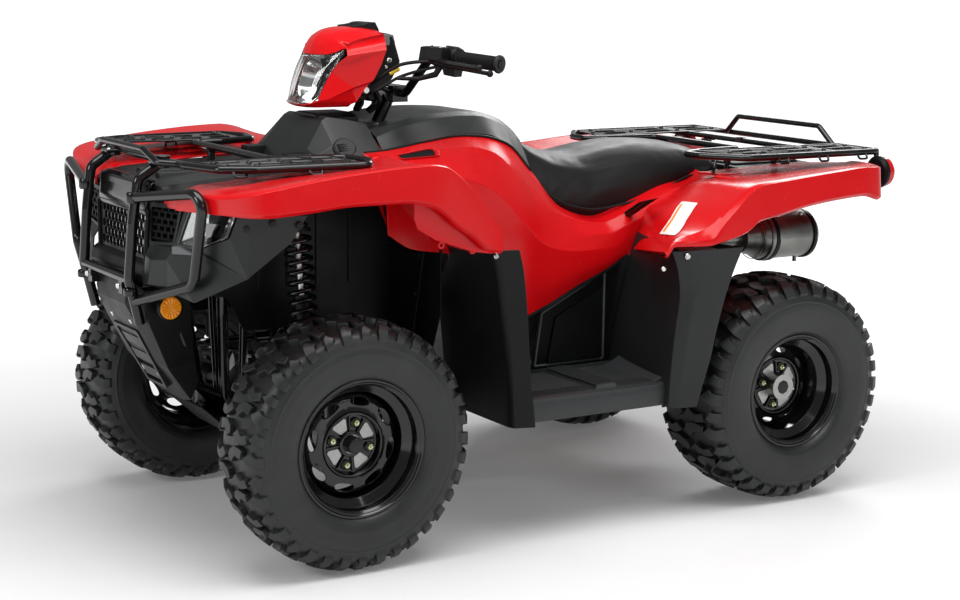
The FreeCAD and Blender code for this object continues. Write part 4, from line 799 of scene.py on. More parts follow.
# The front rows of the rear fender are slanted, so their places are whole: the panel that faces forward
# ends in a diagonal crease
REAR_FENDER = [(0, line) for line in (
    [(-204, 562, 689), (-201, 574, 692), (-203, 572, 699),
     (-214, 552, 698), (-280, 390, 676), (-334, 257, 659)],
    [(-228, 566, 717), (-226, 578, 720), (-229, 576, 726),
     (-246, 555, 730), (-302, 390, 706), (-348, 257, 692)],
    [(-272, 568, 715), (-270, 582, 718), (-275, 581, 725),
     (-296, 560, 739), (-328, 390, 738), (-364, 256, 728)],
    [(-329, 573, 713), (-329, 586, 716), (-335, 585, 728),
     (-350, 564, 758), (-362, 390, 770), (-386, 252, 768)],
    [(-366, 576, 720), (-368, 590, 724), (-376, 588, 768),
     (-388, 568, 790), (-408, 395, 799), (-440, 200, 772)],
    [(-404, 580, 728), (-406, 594, 733), (-418, 590, 808),
     (-428, 570, 823), (-450, 398, 824), (-492, 193, 790)],
    [(-441, 586, 742), (-443, 598, 747), (-456, 592, 843),
     (-464, 573, 851), (-490, 400, 846), (-535, 188, 806)],
    [(-480, 590, 768), (-482, 600, 774), (-492, 592, 857),
     (-498, 572, 860), (-530, 400, 850), (-580, 186, 822)],
    [(-560, 590, 782), (-560, 600, 789), (-562, 592, 864),
     (-564, 570, 865), (-585, 400, 853), (-622, 188, 836)])
] + [
    (-650, [(CREST + 2, 799), (CREST + 12, 806), (CREST + 4, 872), (CREST - 18, 872), (400, 856),
            (210, 848)]),
    (-750, [(CREST + 1, 810), (CREST + 11, 817), (CREST + 3, 880), (CREST - 19, 879), (400, 860),
            (210, 851)]),
    (-835, [(CREST, 815), (CREST + 10, 822), (CREST + 2, 886), (CREST - 20, 884), (400, 864), (210, 854)]),
    (-890, [(CREST - 6, 802), (CREST + 4, 808), (CREST - 4, 884), (CREST - 24, 884), (400, 866), (210, 856)]),
    (-930, [(534, 796), (544, 802), (534, 882), (514, 882), (390, 866), (210, 856)]),
    (-980, [(446, 790), (456, 796), (446, 876), (428, 877), (360, 865), (210, 855)]),
    (-1034, [(342, 784), (352, 790), (342, 866), (326, 868), (300, 862), (210, 853)])]


LABEL_FACING = Vector((0.68, -0.04, 0.73))
LABEL_ENDS = [(Vector(left), Vector(right)) for left, right in (
    ((-306, 416, 715), (-283, 515, 723)), ((-347, 405, 757), (-350, 469, 759)),
    ((-401, 375, 796), (-401, 444, 799)))]


def label_place(across, up):
    # A place on the film: from its left edge to its right one, and from its lower end up.
    lower, upper, t = (0, 1, up * 2) if up < 0.5 else (1, 2, up * 2 - 1)
    left = LABEL_ENDS[lower][0].lerp(LABEL_ENDS[upper][0], t)
    right = LABEL_ENDS[lower][1].lerp(LABEL_ENDS[upper][1], t)
    return left.lerp(right, across)


def rear_fenders():
    form = sheet_form(REAR_FENDER, 4, 5, 3, sharp=(1, 2, 3), flip=True)
    # Tail: the wall turned down across the end
    tail_wall = [(-1034, y, z) for y, z in ((342, 866), (326, 868), (300, 862), (210, 853), (210, 800),
                                            (300, 790), (350, 788))]
    form.rings([tail_wall, [(x + 5, y, z) for x, y, z in tail_wall]])
    panel = BVHTree.FromPolygons(form.places, form.faces)
    piece = both(form, "rear_fender_skins", RED, "chassis", bevel=1.8, segments=3, angle=24)
    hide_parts("rear_fenders")
    pads = Form()
    for y0, y1, x0, x1 in ((250, 330, -548, -640), (352, 430, -520, -610)):
        pads.prism("z", 851, 857, [(x0, y0), (x0 - 14, y1), (x1, y1), (x1 + 14, y0)])
    both(pads, "rear_fender_pads", RED, "chassis", bevel=2.5, segments=3)
    # Plain film on the panel that faces forward, with a stripe along one edge
    label = Form()
    for slot, left, right, low, high, lift in ((0, 0.0, 1.0, 0.0, 1.0, 1.6),
                                               (1, 0.08, 0.22, 0.08, 0.92, 2.0)):
        label.rings([[laid_on(panel, label_place(left + (right - left) * k / 4,
                                                 low + (high - low) * step / 8),
                              LABEL_FACING, 50, 120, lift) for k in range(5)] for step in range(9)],
                    closed=False, caps=False, slot=slot)
    label.build("fender_label", [LABEL, STRIPE], "chassis", smooth=False)


HOOD = both_halves([
    (985, [(214, 866), (190, 886), (150, 887)]),
    (930, [(226, 878), (200, 892), (150, 893)]),
    (800, [(232, 886), (200, 902), (150, 903)]),
    (590, [(232, 904), (196, 908), (150, 909)]),
    (568, [(232, 906), (168, 936), (120, 950)]),
    (520, [(235, 912), (168, 962), (106, 1018)]),
    (508, [(236, 914), (168, 966), (104, 1025)]),
    (460, [(238, 920), (178, 968), (118, 1018)]),
    (412, [(240, 928), (186, 966), (130, 1008)])])


def hood():
    form = sheet_form(HOOD, 4, 1, 1, sharp=(1, 2, 3, 4), flip=True)
    # Shallow ribs along the flat part
    for y in (-60, 0, 60):
        form.prism("x", 640, 940, [(y - 14, 893), (y + 14, 893), (y + 10, 907), (y - 10, 907)])
    piece = form.build("hood_skin", GREY, "chassis", bevel=5, segments=3, angle=14)
    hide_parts("front_hood")
    cap = Form()
    for side in (1, -1):
        centre = Vector((500, side * 186, 956))
        way = Vector((0.12, side * 0.76, 0.64)).normalized()
        cap.tube([centre + way * rise for rise in (-12, 4, 4, 8)], [30, 30, 25, 22], sides=28)
        for k in range(4):
            middle = centre + way.cross(Vector((1, 0, 0))).normalized() * (9 - 6 * k)
            cap.tube([middle + Vector((x, 0, 0)) + way * 7 for x in (20, -20)], 2.2, sides=8)
    cap.build("hood_caps", SOFT, "chassis", bevel=1.5)
    foot = Form()
    foot.prism("x", 548, 628, [(88, 899), (148, 899), (140, 944), (96, 944)])
    foot.prism("x", 548, 628, [(-148, 899), (-88, 899), (-96, 944), (-140, 944)])
    foot.build("hood_blocks", DARK, "chassis", bevel=3)
    # Ridge under the pod's chin, low enough at its sides for the turned pod
    ridge = Form()
    ridge.prism("x", 406, 514, [(84, 1004), (84, 1024), (44, 1034), (-44, 1034), (-84, 1024), (-84, 1004)])
    ridge.build("hood_ridge", DARK, "chassis", bevel=3)


TANK = both_halves([
    (408, [(208, 948), (178, 978), (150, 990), (92, 984)]),
    (350, [(208, 957), (172, 996), (148, 1006), (84, 992)]),
    (282, [(207, 966), (166, 1010), (142, 1020), (78, 1004)]),
    (215, [(205, 976), (158, 1018), (134, 1026), (80, 1020)]),
    (160, [(203, 979), (150, 1020), (126, 1028), (80, 1029)]),
    (96, [(199, 974), (144, 1018), (118, 1026), (76, 1028)]),
    (21, [(193, 938), (136, 996), (106, 1011), (70, 1014)]),
    (-20, [(190, 896), (132, 968), (102, 988), (66, 993)]),
    (-46, [(187, 872), (128, 950), (98, 968), (62, 974)])])


def tank():
    form = sheet_form(TANK, 4, 5, 2, sharp=(1, 2, 5, 6), flip=True)
    piece = form.build("tank_skin", GREY, "chassis", bevel=5, segments=3, angle=16)
    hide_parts("tank_cover")
    collar = Form()
    collar.turn((372, 0, 986), [(58, -10), (62, 8), (54, 14), (40, 12)], 40, axis="z")
    collar.rings([[(372 + 60 * math.cos(a) * k, 62 * math.sin(a) * k, z) for a in angles(32)]
                  for k, z in ((1.05, 990), (1.0, 1003), (0.8, 1006))])
    collar.build("stem_collar", SOFT, "chassis", bevel=2)


def mudguards():
    front = sheet_form([
        (300, [(208, 240), (226, 236), (233, 300), (236, 540), (230, 556), (196, 566), (180, 570)]),
        (360, [(216, 240), (233, 238), (238, 300), (239, 540), (233, 556), (202, 568), (188, 572)]),
        (420, [(222, 242), (240, 239), (243, 300), (243, 542), (236, 557), (208, 569), (197, 573)]),
        (590, [(244, 246), (262, 243), (265, 300), (267, 544), (258, 558), (224, 572), (212, 576)]),
        (690, [(264, 334), (284, 331), (286, 380), (284, 548), (274, 562), (238, 575), (226, 578)]),
        (742, [(280, 352), (300, 350), (302, 390), (302, 550), (292, 563), (252, 576), (240, 579)])],
        4, 5, 2, sharp=(1, 4, 5), axis="z", flip=False)
    piece = both(front, "front_mudguard_skins", DARK, "chassis", bevel=2.5, segments=3, angle=20)
    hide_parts("front_mudguards")
    rear = sheet_form([
        (300, [(-300, 588), (-286, 586), (-250, 576), (-236, 560), (-244, 400), (-262, 250)]),
        (360, [(-318, 589), (-304, 587), (-254, 577), (-238, 560), (-252, 400), (-270, 250)]),
        (420, [(-338, 589), (-324, 588), (-262, 578), (-242, 561), (-260, 400), (-280, 250)]),
        (500, [(-356, 590), (-342, 589), (-274, 580), (-250, 562), (-274, 400), (-296, 251)]),
        (590, [(-382, 591), (-366, 590), (-290, 582), (-260, 563), (-290, 400), (-318, 252)]),
        (650, [(-406, 591), (-390, 590), (-300, 583), (-252, 563), (-292, 400), (-330, 254)]),
        (704, [(-432, 591), (-418, 590), (-300, 584), (-232, 561), (-298, 400), (-350, 254)])],
        4, 5, 2, sharp=(1, 3), axis="z", flip=True)
    piece = both(rear, "rear_mudguard_skins", GREY, "chassis", bevel=2.5, segments=3, angle=20)
    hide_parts("rear_mudguards")
    heads = Form()
    bolt(heads, (-262, 583, 690), (0.15, 1, 0.05), 6)
    bolt(heads, (-200, 566, 660), (0.5, 1, 0), 5)
    bolt(heads, (296, 566, 728), (0.1, 1, 0.1), 5)
    both(heads, "mudguard_bolts", STEEL, "chassis", bevel=0.6)


def liners():
    # Inner walls of the front arches, between the frame and the shocks, and behind the wheels
    form = Form()
    form.prism("y", 152, 155, [(352, 330), (352, 800), (420, 872), (880, 862), (880, 640), (800, 600),
                               (760, 520), (540, 520), (470, 430)])
    for x in (470, 560, 640, 720, 800):
        form.prism("y", 154, 160, [(x - 5, 620), (x + 5, 620), (x + 5, 850), (x - 5, 850)])
    form.prism("x", 352, 355, [(152, 330), (236, 330), (330, 730), (330, 800), (152, 800)])
    for z in (400, 500, 600, 700):
        reach = 236 + (z - 330) * 0.2
        form.prism("x", 354, 360, [(156, z - 5), (reach, z - 5), (reach, z + 5), (156, z + 5)])
    form.prism("x", 318, 322, [(160, 330), (262, 330), (352, 560), (352, 760), (160, 760)])
    both(form, "arch_liners", DARK, "chassis", bevel=1.2)


def footboards():
    board = Form()
    profile = [(236, 300), (236, 352), (246, 360), (520, 362), (534, 356), (541, 340), (541, 306), (532, 300),
               (524, 304), (524, 340), (250, 344), (246, 300)]
    board.rings([[(x, y, z) for y, z in profile] for x in (232, 150, 20, -100, -220, -296)])
    # Toothed grip on the tread and the raised peg with its own teeth
    for i in range(46):
        x = 216 - i * 11
        board.prism("y", 262, 292, [(x - 2.6, 358), (x + 2.6, 358), (x, 364.5)])
        board.prism("y", 470, 522, [(x - 2.6, 358), (x + 2.6, 358), (x, 364.5)])
    board.prism("y", 296, 524, [(-98, 358), (-28, 358), (-36, 372), (-90, 374)])
    for i in range(6):
        x = -88 + i * 10.5
        board.prism("y", 300, 520, [(x - 3, 371), (x + 3, 371), (x, 378)])
    for i in range(19):
        y = 304 + i * 11
        board.prism("x", -96, -32, [(y - 1.2, 371), (y + 1.2, 371), (y + 0.6, 375.5), (y - 0.6, 375.5)])
    # Heel kick that rises to the rear guard
    board.prism("y", 296, 522, [(-296, 358), (-206, 358), (-250, 376), (-296, 402)])
    left = both(board, "footboard_tops", BOARD, "chassis", bevel=1.2, segments=2, angle=30)
    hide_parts("footboard_left", "footboard_right")


def side_panels():
    form = Form()
    form.prism("y", 232, 236, [(-26, 356), (-262, 356), (-262, 612), (-50, 512)])
    # Rim tubes round the panel in the light grey edge colour, a painted highlight along its rounded edges
    line = [(-36, 366), (-254, 366), (-254, 602), (-56, 506), (-36, 366)]
    for (x0, z0), (x1, z1) in zip(line, line[1:]):
        form.tube([(x0, 237, z0), (x1, 237, z1)], 3.2, sides=8, slot=1)
    form.prism("y", 226, 230, [(-255, 356), (-346, 356), (-352, 662), (-255, 616)])
    form.prism("y", 235, 244, [(-72, 372), (-244, 372), (-244, 560), (-96, 492)])
    piece = both(form, "side_panel_skins", [DARK, EDGE_HIGHLIGHT], "chassis", bevel=3, segments=3, angle=30)
    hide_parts("side_panels")


front_fenders()
side_covers()
rear_fenders()
hood()
tank()
mudguards()
liners()
footboards()
side_panels()


# Front: fascia, grille, vents, lamps, bumper, guard

FASCIA = {
    "A": (764, 512, 848), "B": (893, 485, 850), "C": (899, 477, 706), "D": (805, 506, 785),
    "L1": (987, 296, 768), "L2": (968, 354, 760), "L3": (931, 452, 798), "L4": (915, 466, 852),
    "L5": (970, 328, 852),
    "G": (978, 360, 640), "H": (1004, 250, 656), "J1": (1020, 212, 722), "J2": (1026, 203, 664),
    "K1": (1017, 168, 728), "K2": (1024, 166, 660), "M": (994, 284, 756), "N1": (1003, 262, 728),
    "N2": (1001, 256, 664), "P": (957, 384, 748), "V1": (1003, 164, 752), "V2": (998, 164, 848),
    "V3": (978, 312, 852), "V4": (993, 276, 760)}


def fascia():
    form = Form()
    form.panels(FASCIA, "A B C D", "B L4 L3 C", "C L3 L2 P", "C P N1 G", "N1 N2 H G", "L2 L1 M P", "P M N1",
                "N1 J1 J2 N2", "N2 J2 K2 H", "J1 K1 K2 J2", "M V4 V1 K1 J1 N1", "L1 L5 V3 V4 M")
    piece = both(form, "fascia_skin", GREY, "chassis", wall=3.5, bevel=2.2, segments=3, angle=7)
    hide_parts("fascia")
    heads = Form()
    way = Vector((0.2, 1, 0))
    for where in ((845, 498, 832), (786, 512, 826), (900, 477, 820)):
        where = Vector(where)
        heads.tube([where, where + way * 5], [9, 8], sides=18)
        heads.tube([where + way * 5, where + way * 6], [5, 4], sides=14)
    both(heads, "fascia_clips", SOFT, "chassis", bevel=0.8)
    # Sill under the grille, lip above it and the bare panel between the uprights
    sill = Form()
    sill.rings([[(1001, y, 716), (1019, y, 704), (1026, y, 676), (1012, y, 655), (984, y, 655), (990, y, 700)]
                for y in (-172, 172)])
    sill.build("fascia_sill", DARK, "chassis", bevel=4, segments=3, angle=20)
    top = Form()
    top.rings([[(front, -wide, z), (front + out, -narrow, z + lift), (front + out, narrow, z + lift),
                (front, wide, z), (back, wide, z), (back, -wide, z)]
               for front, out, wide, narrow, z, lift, back in (
                   (1002, 4, 158, 142, 812, 8, 990), (1008, 6, 150, 128, 838, 6, 990),
                   (1001, 7, 152, 134, 886, 6, 986), (985, 5, 146, 130, 899, 3, 976))])
    top.build("centre_panel", GLOSS, "chassis", bevel=4, segments=3, angle=18)


def hexagon(a, b, radius):
    return [(a + radius * math.cos(turn + math.pi / 6), b + radius * math.sin(turn + math.pi / 6))
            for turn in angles(6)]


def grille():
    pitch = 23.0
    cells = []
    for row in range(7):
        for column in range(-8, 9):
            y = column * pitch + (pitch / 2 if row % 2 else 0)
            z = 730 + (row - 1) * pitch * 0.866
            half = 132 + (z - 703) * 0.1
            if abs(y) < half - 8 and 716 < z < 822:
                cells.append(hexagon(y, z, 11.2))
    form = Form()
    slab(form, [(-142, 700), (142, 700), (155, 828), (-155, 828)], cells,
         lambda t, a, b: (t - (b - 700) * 0.03, a, b), 998, 1006)
    piece = form.build("grille_mesh", DARK, "chassis", bevel=0.9, segments=1, angle=40)
    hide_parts("grille")
    border = Form()
    outline = [(1008, -146, 700), (1008, 146, 700), (1004, 158, 830), (1004, -158, 830), (1008, -146, 700)]
    border.tube(outline, 5.5, bend=14, sides=10, caps=False)
    border.build("grille_frame", DARK, "chassis")
    # Slatted vents between the uprights and the headlamps
    vent = Form()
    lay = on_plane((1002, 166, 754), (-12, 116, 5), (-6, 0, 94))
    slab(vent, rounded([(0, 0), (112, 6), (146, 92), (2, 92)], 6), [], lay, -16, -13, slot=1)
    slab(vent, rounded([(-4, -4), (116, 4), (152, 97), (-4, 97)], 8),
         [rounded([(4, 5), (109, 11), (137, 87), (4, 87)], 6)[::-1]], lay, -16, 2)
    for k in range(5):
        low = 14 + k * 16
        reach = 112 + low * 0.32
        vent.rings([[lay(t, a, b) for t, b in ((-14, low + 2), (-3, low - 3), (0, low), (-3, low + 4))]
                    for a in (2, reach)])
        for j in range(4):
            a = 20 + j * 30 + (k % 2) * 15
            if a < reach - 6:
                vent.rings([[lay(t, a + d, b) for t, d in ((-14, -2.5), (-2, -2), (-2, 2), (-14, 2.5))]
                            for b in (low, min(low + 16, 88))])
    both(vent, "vent_slats", [DARK, SOFT], "chassis", bevel=1, segments=2, angle=30)


def headlamps():
    edge = [FASCIA[n] for n in ("L1", "L2", "L3", "L4", "L5")]
    middle = sum((Vector(p) for p in edge), Vector()) / 5

    def ring(share, back):
        return [middle + (Vector(p) - middle) * share + Vector((-back, -back * 0.25, 0)) for p in edge]

    shell = Form()
    shell.rings([ring(0.985, -2), ring(0.97, 2), ring(0.97, 48), ring(0.985, 50)], caps=False)
    shell.add(ring(0.985, 50), [range(5)])
    both(shell, "headlamp_cases", DARK, "chassis", wall=2, bevel=1, angle=30)
    # Faceted reflector, deepest at the bulb
    mirror = Form()
    bulb = Vector((948, 372, 806))
    outer = [Vector(p) for p in ring(0.955, 5)]
    more = []
    for a, b in zip(outer, outer[1:] + outer[:1]):
        more += [a, a.lerp(b, 0.5)]
    middle_ring = [p.lerp(bulb, 0.35) + Vector((-22, -4, 0)) for p in more]
    deepest = [p.lerp(bulb, 0.72) + Vector((-28, -6, 0)) for p in more]
    mirror.rings([more, middle_ring, deepest], caps=False)
    mirror.add(deepest, [range(len(deepest))])
    both(mirror, "headlamp_mirrors", CHROME, "chassis", wall=1.2, smooth=False)
    parts = Form()
    bulb_back = bulb + Vector((-30, -6, 0))
    side_lamp = Vector((918, 432, 832))
    for start, ways, radii in ((bulb_back, ((0, 0, 0), (26, 8, 0), (30, 9, 0)), [13, 12, 5]),
                               (side_lamp, ((-16, -6, 0), (-1, 2, 0), (2, 3, 0)), [13, 13, 6])):
        parts.tube([start + Vector(way) for way in ways], radii, sides=18)
    # Black divider between the main beam and the side lamp
    divider = ((954, 396, 852), (946, 414, 852), (952, 400, 780), (958, 386, 776))
    parts.rings([[(x + back, y + out, z) for x, y, z in divider] for back, out in ((0, 2), (-34, -10))],
                slot=1)
    both(parts, "headlamp_insides", [CHROME, DARK], "chassis", bevel=1)
    cover = Form()
    cover.rings([ring(0.975, -4), ring(0.94, -9), ring(0.92, -9.6)], caps=False)
    cover.add(ring(0.92, -9.6), [range(5)])
    piece = both(cover, "headlamp_lenses", LENS, "chassis", wall=2, bevel=2, segments=3, angle=12)
    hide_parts("headlamps")
    # Small bracket under each lamp
    foot = Form()
    foot.rings([[(989, 280, 764), (984, 306, 768), (968, 352, 752), (991, 284, 748)],
                [(999, 282, 762), (992, 306, 764), (972, 352, 748), (999, 286, 744)]])
    pale = plastic("pale_bracket", (0.10, 0.105, 0.108), 0.45, vary=0.1)
    both(foot, "headlamp_brackets", pale, "chassis", bevel=1.5)


def bumper():
    form = Form()
    corners = {
        "a": (1026, 118, 652), "b": (1014, 150, 640), "c": (1004, 150, 560), "d": (948, 132, 438),
        "e": (882, 108, 352), "f": (1040, 92, 600), "g": (1020, 96, 560), "h": (960, 84, 450),
        "i": (884, 70, 344), "j": (895, 150, 556), "k": (888, 148, 452), "l": (862, 116, 400),
        "m": (900, 152, 636), "n": (1034, 84, 655)}
    form.panels(corners, "c d h g", "d e i h", "b c g f", "b f n a", "c j k d", "d k l e", "b m j c")
    form.mirror()
    # The middle runs from wing to wing
    for upper, lower in ("nf", "fg", "gh", "hi"):
        a, c = corners[upper], corners[lower]
        form.add([a, (a[0], -a[1], a[2]), (c[0], -c[1], c[2]), c], [range(4)])
    piece = form.build("bumper_skin", DARK, "chassis", wall=3.5, bevel=2.5, segments=3, angle=8)
    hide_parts("front_bumper")
    trim = Form()
    lay = on_plane((960, 0, 450), (0, 1, 0), (60, 0, 110))
    slab(trim, rounded([(-62, -84), (62, -84), (80, 92), (-80, 92)], 10),
         [rounded([(-50, -74), (50, -74), (66, 82), (-66, 82)], 8)[::-1]], lay, -8, 4)
    for low in (-60, -12, 36):
        slab(trim, rounded([(-52, low), (52, low), (56, low + 30), (-56, low + 30)], 6), [], lay, -6, 2)
    trim.build("bumper_insert", GREY, "chassis", bevel=1.5)
    # Raised triangle and bolts on each wing
    wing = Form()
    wing.rings([[(940, 137, 532), (920, 148, 536), (906, 149, 492), (934, 133, 500)],
                [(938, 142, 526), (922, 152, 530), (909, 153, 497), (932, 139, 504)]])
    both(wing, "bumper_wings", GREY, "chassis", bevel=2)
    heads = Form()
    bolt(heads, (936, 141, 522), (0.1, 1, 0), 7)
    bolt(heads, (1012, 60, 552), (0.85, 0, -0.5), 7)
    bolt(heads, (938, 50, 412), (0.85, 0, -0.5), 7)
    both(heads, "bumper_bolts", STEEL, "chassis", bevel=0.8)


def guard():
    # The tubes are the solid's own; clamps, weld knobs and bolts are added to them.
    coat(GLOSS, "front_guard")
    form = Form()
    for y in (155, -155):
        form.turn((1040, y, 862), [(14.5, -12), (16.5, -6), (16.5, 6), (14.5, 12)], 24, axis="z")
        form.turn((1050, y - math.copysign(2, y), 640), [(14, -9), (16, -5), (16, 5), (14, 9)], 24, axis="z")
        form.tube([(965, y, 930), (965, y, 958)], 19, sides=24)
        form.box((952, y - 22, 938), (992, y + 22, 946))
    form.build("guard_clamps", GLOSS, "chassis", bevel=1.5)
    heads = Form()
    for y in (155, -155):
        bolt(heads, (984, y + 14, 946), (0, 0, 1), 5)
        bolt(heads, (972, y, 950), (1, 0, 0.1), 6, head=10)
        bolt(heads, (1060, y * 0.66, 648), (1, 0, 0), 6)
    heads.build("guard_bolts", STEEL, "chassis", bevel=0.6)


def reflectors():
    form = Form()
    x, y, z = 969, 200, 602
    form.turn((x, y, z), [(0, 4), (24, 4), (27, 2), (28, -3), (28, -8)], 40)
    for k in range(16):
        a, b, c = (2 * math.pi * (k + share) / 16 for share in (0, 0.5, 1))
        rim_places = [(x + 23 * math.cos(t), y + out, z + 23 * math.sin(t))
                      for t, out in ((a, 4.2), (b, 7.0), (c, 4.2))]
        form.add([(x, y + 4.5, z)] + rim_places, [[0, 1, 2], [0, 2, 3]])
    form.turn((x, y, z), [(28, -12), (30.5, -10), (30.5, 3), (28.5, 4)], 40, slot=1)
    form.add([(x + 28 * math.cos(a), y - 12, z + 28 * math.sin(a)) for a in angles(24)], [range(24)], 1)
    form.tube([(x, y - 12, z), (x, y - 50, z - 2)], 7, slot=1)
    piece = both(form, "reflector_faces", [AMBER, DARK], "chassis", bevel=0.5)
    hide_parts("reflectors")


fascia()
grille()
headlamps()
bumper()
guard()
reflectors()


# Steering: pod, bar, grips, levers and cables

def pod():
    shell = Form()
    cap = [[(503, 0, 1179), (498, 40, 1180), (487, 70, 1181)],
           [(491, 0, 1208), (485, 44, 1206), (467, 96, 1191)],
           [(473, 0, 1230), (466, 46, 1227), (451, 109, 1206)],
           [(440, 0, 1243), (436, 48, 1240), (428, 107, 1216)],
           [(400, 0, 1247), (398, 50, 1245), (392, 104, 1223)],
           [(344, 0, 1241), (344, 50, 1239), (344, 100, 1231)]]
    skin(shell, cap, 3, 3)
    corners = {
        "w1": (457, 114, 1198), "s2": (451, 109, 1206), "s3": (428, 107, 1216), "s4": (392, 104, 1223),
        "s5": (344, 100, 1231), "ra": (346, 116, 1203), "fb": (456, 117, 1185), "wl": (456, 118, 1179),
        "rb": (349, 124, 1192), "rc": (365, 126, 1155), "rd": (384, 122, 1119), "re": (408, 118, 1095),
        "rf": (428, 112, 1064), "ca": (520, 82, 1066), "r3": (513, 74, 1077), "r2": (485, 86, 1138),
        "r1": (474, 94, 1156), "da": (494, 96, 1073), "db": (388, 122, 1115), "mh": (440, 118, 1100),
        "ml": (440, 112, 1094), "dl": (394, 117, 1109), "ce": (441, 108, 1058), "cd": (442, 95, 1051),
        "cc": (515, 68, 1049), "cb": (530, 38, 1048), "ch": (541, 40, 1053), "br": (537, 62, 1057),
        "c0": (534, 0, 1048), "c1": (546, 0, 1054), "l1": (467, 96, 1191), "bc": (440, 0, 1051)}
    shell.panels(corners, "w1 s2 s3 s4 s5 ra fb", "l1 s2 w1", "fb ra rb wl", "wl rb rc rd db mh r2 r1",
                 "mh da ca r3 r2", "mh db dl ml", "mh ml da", "ml dl re rf", "ml rf ca da", "ca rf ce cc br",
                 "ce cd cc", "br cc cb ch", "ch cb c0 c1", "cd bc c0 cb cc")
    piece = both(shell, "pod_shell_skin", RED, "steering", wall=3, bevel=2.2, segments=3, angle=9)
    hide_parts("pod_shell")
    lens = Form()
    skin(lens, [[(505, 0, 1177), (500, 40, 1178), (488, 68, 1180), (458, 112, 1196)],
                [(524, 0, 1148), (517, 42, 1146), (499, 74, 1148), (473, 96, 1158)],
                [(540, 0, 1108), (532, 42, 1106), (513, 72, 1106), (489, 86, 1130)],
                [(551, 0, 1057), (544, 40, 1056), (533, 62, 1059), (515, 73, 1076)]], 5, 4)
    piece = both(lens, "pod_lens_face", LENS, "steering", wall=2.5)
    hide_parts("pod_lens")
    inside = Form()
    # Chrome liner, deepest at the bulb, with a bowl round it
    edge = [(498, 0, 1174), (493, 40, 1174), (480, 66, 1176), (452, 106, 1190), (464, 92, 1154),
            (478, 80, 1132), (504, 68, 1078), (522, 58, 1062), (536, 0, 1060)]
    back = [(470, 0, 1160), (468, 34, 1158), (462, 52, 1152), (440, 84, 1168), (446, 72, 1142),
            (456, 58, 1118), (474, 50, 1092), (482, 40, 1084), (486, 0, 1080)]
    deep = [(440, 0, 1142), (438, 22, 1140), (436, 34, 1134), (430, 48, 1134), (430, 46, 1124),
            (430, 38, 1112), (434, 32, 1102), (436, 22, 1098), (438, 0, 1096)]
    inside.rings([edge, back, deep], closed=False, caps=False)
    inside.add(deep, [range(len(deep))])
    both(inside, "pod_liner", CHROME, "steering", smooth=False, wall=1.5)
    bowl = Form()
    centre = Vector((500, 0, 1116))
    way = Vector((1, 0, 0.28)).normalized()
    side = Vector((0, 1, 0))
    up = way.cross(side)
    profile = [(54, 0), (52, -4), (46, -22), (34, -40), (18, -52), (8, -55)]
    bowl.rings([[centre + way * t + side * (r * 1.05 * math.cos(a)) + up * (r * 1.12 * math.sin(a))
                 for a in angles(40)] for r, t in profile], caps=False)
    bowl.build("pod_bowl", CHROME, "steering", wall=1.5)
    shade = Form()
    shade.tube([centre - way * 52, centre - way * 20, centre - way * 14], [13, 13, 8], sides=24)
    for out in (-26, 26):
        shade.tube([centre - way * 22 + side * out, centre - way * 20], 2.4, sides=8)
    shade.rings([[centre + way * t + side * (r * math.cos(a)) + up * (r * math.sin(a)) for a in angles(40)]
                 for r, t in ((57, -3), (60, 0), (62, 0), (62, -6), (57, -6))], caps=False)
    shade.build("pod_bulb_shade", DARK, "steering", bevel=1)
    pod_cover()


def pod_cover():
    cover = Form()
    outline = [(350, 1236), (316, 1231), (306, 1207), (291, 1161), (314, 1118), (338, 1096), (398, 1068),
               (436, 1056), (436, 1080), (396, 1128), (372, 1180), (352, 1224)]
    cover.rings([[(342 + (x - 342) * k, y, 1150 + (z - 1150) * k) for x, z in outline]
                 for y, k in ((-97, 0.93), (-90, 0.985), (-60, 1), (60, 1), (90, 0.985), (97, 0.93))])
    # Bracket and cups under the cover
    for y in (1, -1):
        cover.tube([(398, y * 74, 1092), (398, y * 104, 1092)], [17, 15], sides=22)
        cover.tube([(352, y * 60, 1108), (352, y * 92, 1108)], [22, 20], sides=22)
        cover.prism("y", y * 94, y * 60, [(420, 1082), (446, 1070), (424, 1062), (392, 1066), (378, 1084)])
    piece = cover.build("pod_cover_skin", DARK, "steering", bevel=4, segments=3, angle=24)
    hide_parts("pod_cover")
    strip = Form()
    for y in (1, -1):
        strip.rings([[(x, y * (out - inset), z - drop) for x, out, z in
                      ((344, 98, 1231), (314, 96, 1229), (306, 93, 1207), (330, 97, 1201), (345, 102, 1204))]
                     for inset, drop in ((0, 0), (8, 2))])
    pale = plastic("pale_plastic", (0.12, 0.125, 0.13), 0.45, vary=0.1)
    strip.build("pod_cover_strips", pale, "steering", bevel=2)
    top = Form()
    line = [(400, 1240), (400, 1249), (372, 1252), (356, 1257), (338, 1258), (328, 1240), (326, 1228)]
    top.rings([[(x, y, z) for x, z in line] for y in (-46, -40, 40, 46)])
    for k in range(4):
        x, z = 394 - k * 9, 1248 + k * 1.2
        top.prism("y", -34, 34, [(x, z), (x - 4, z + 4.5), (x - 7, z)])
    top.build("pod_display_hood", DARK, "steering", bevel=3, segments=3)
    # Display on the rider's side
    glass = Form()
    lay = on_plane((298, 0, 1184), (0, 1, 0), (12, 0, 46))
    slab(glass, rounded([(-52, -24), (52, -24), (46, 26), (-46, 26)], 8), [], lay, -8, 5)
    slab(glass, rounded([(-42, -16), (42, -16), (38, 19), (-38, 19)], 5), [], lay, 4, 6, slot=1)
    glass.build("pod_display", [DARK, GLOSS], "steering", bevel=1.5)
    heads = Form()
    for y in (1, -1):
        bolt(heads, (342, y * 125, 1166), (0.1, y, 0.05), 5)
        bolt(heads, (398, y * 104, 1092), (0, y, 0), 8, head=6)
        bolt(heads, (336, y * 96, 1148), (0, y, 0), 4)
    heads.build("pod_bolts", STEEL, "steering", bevel=0.6)


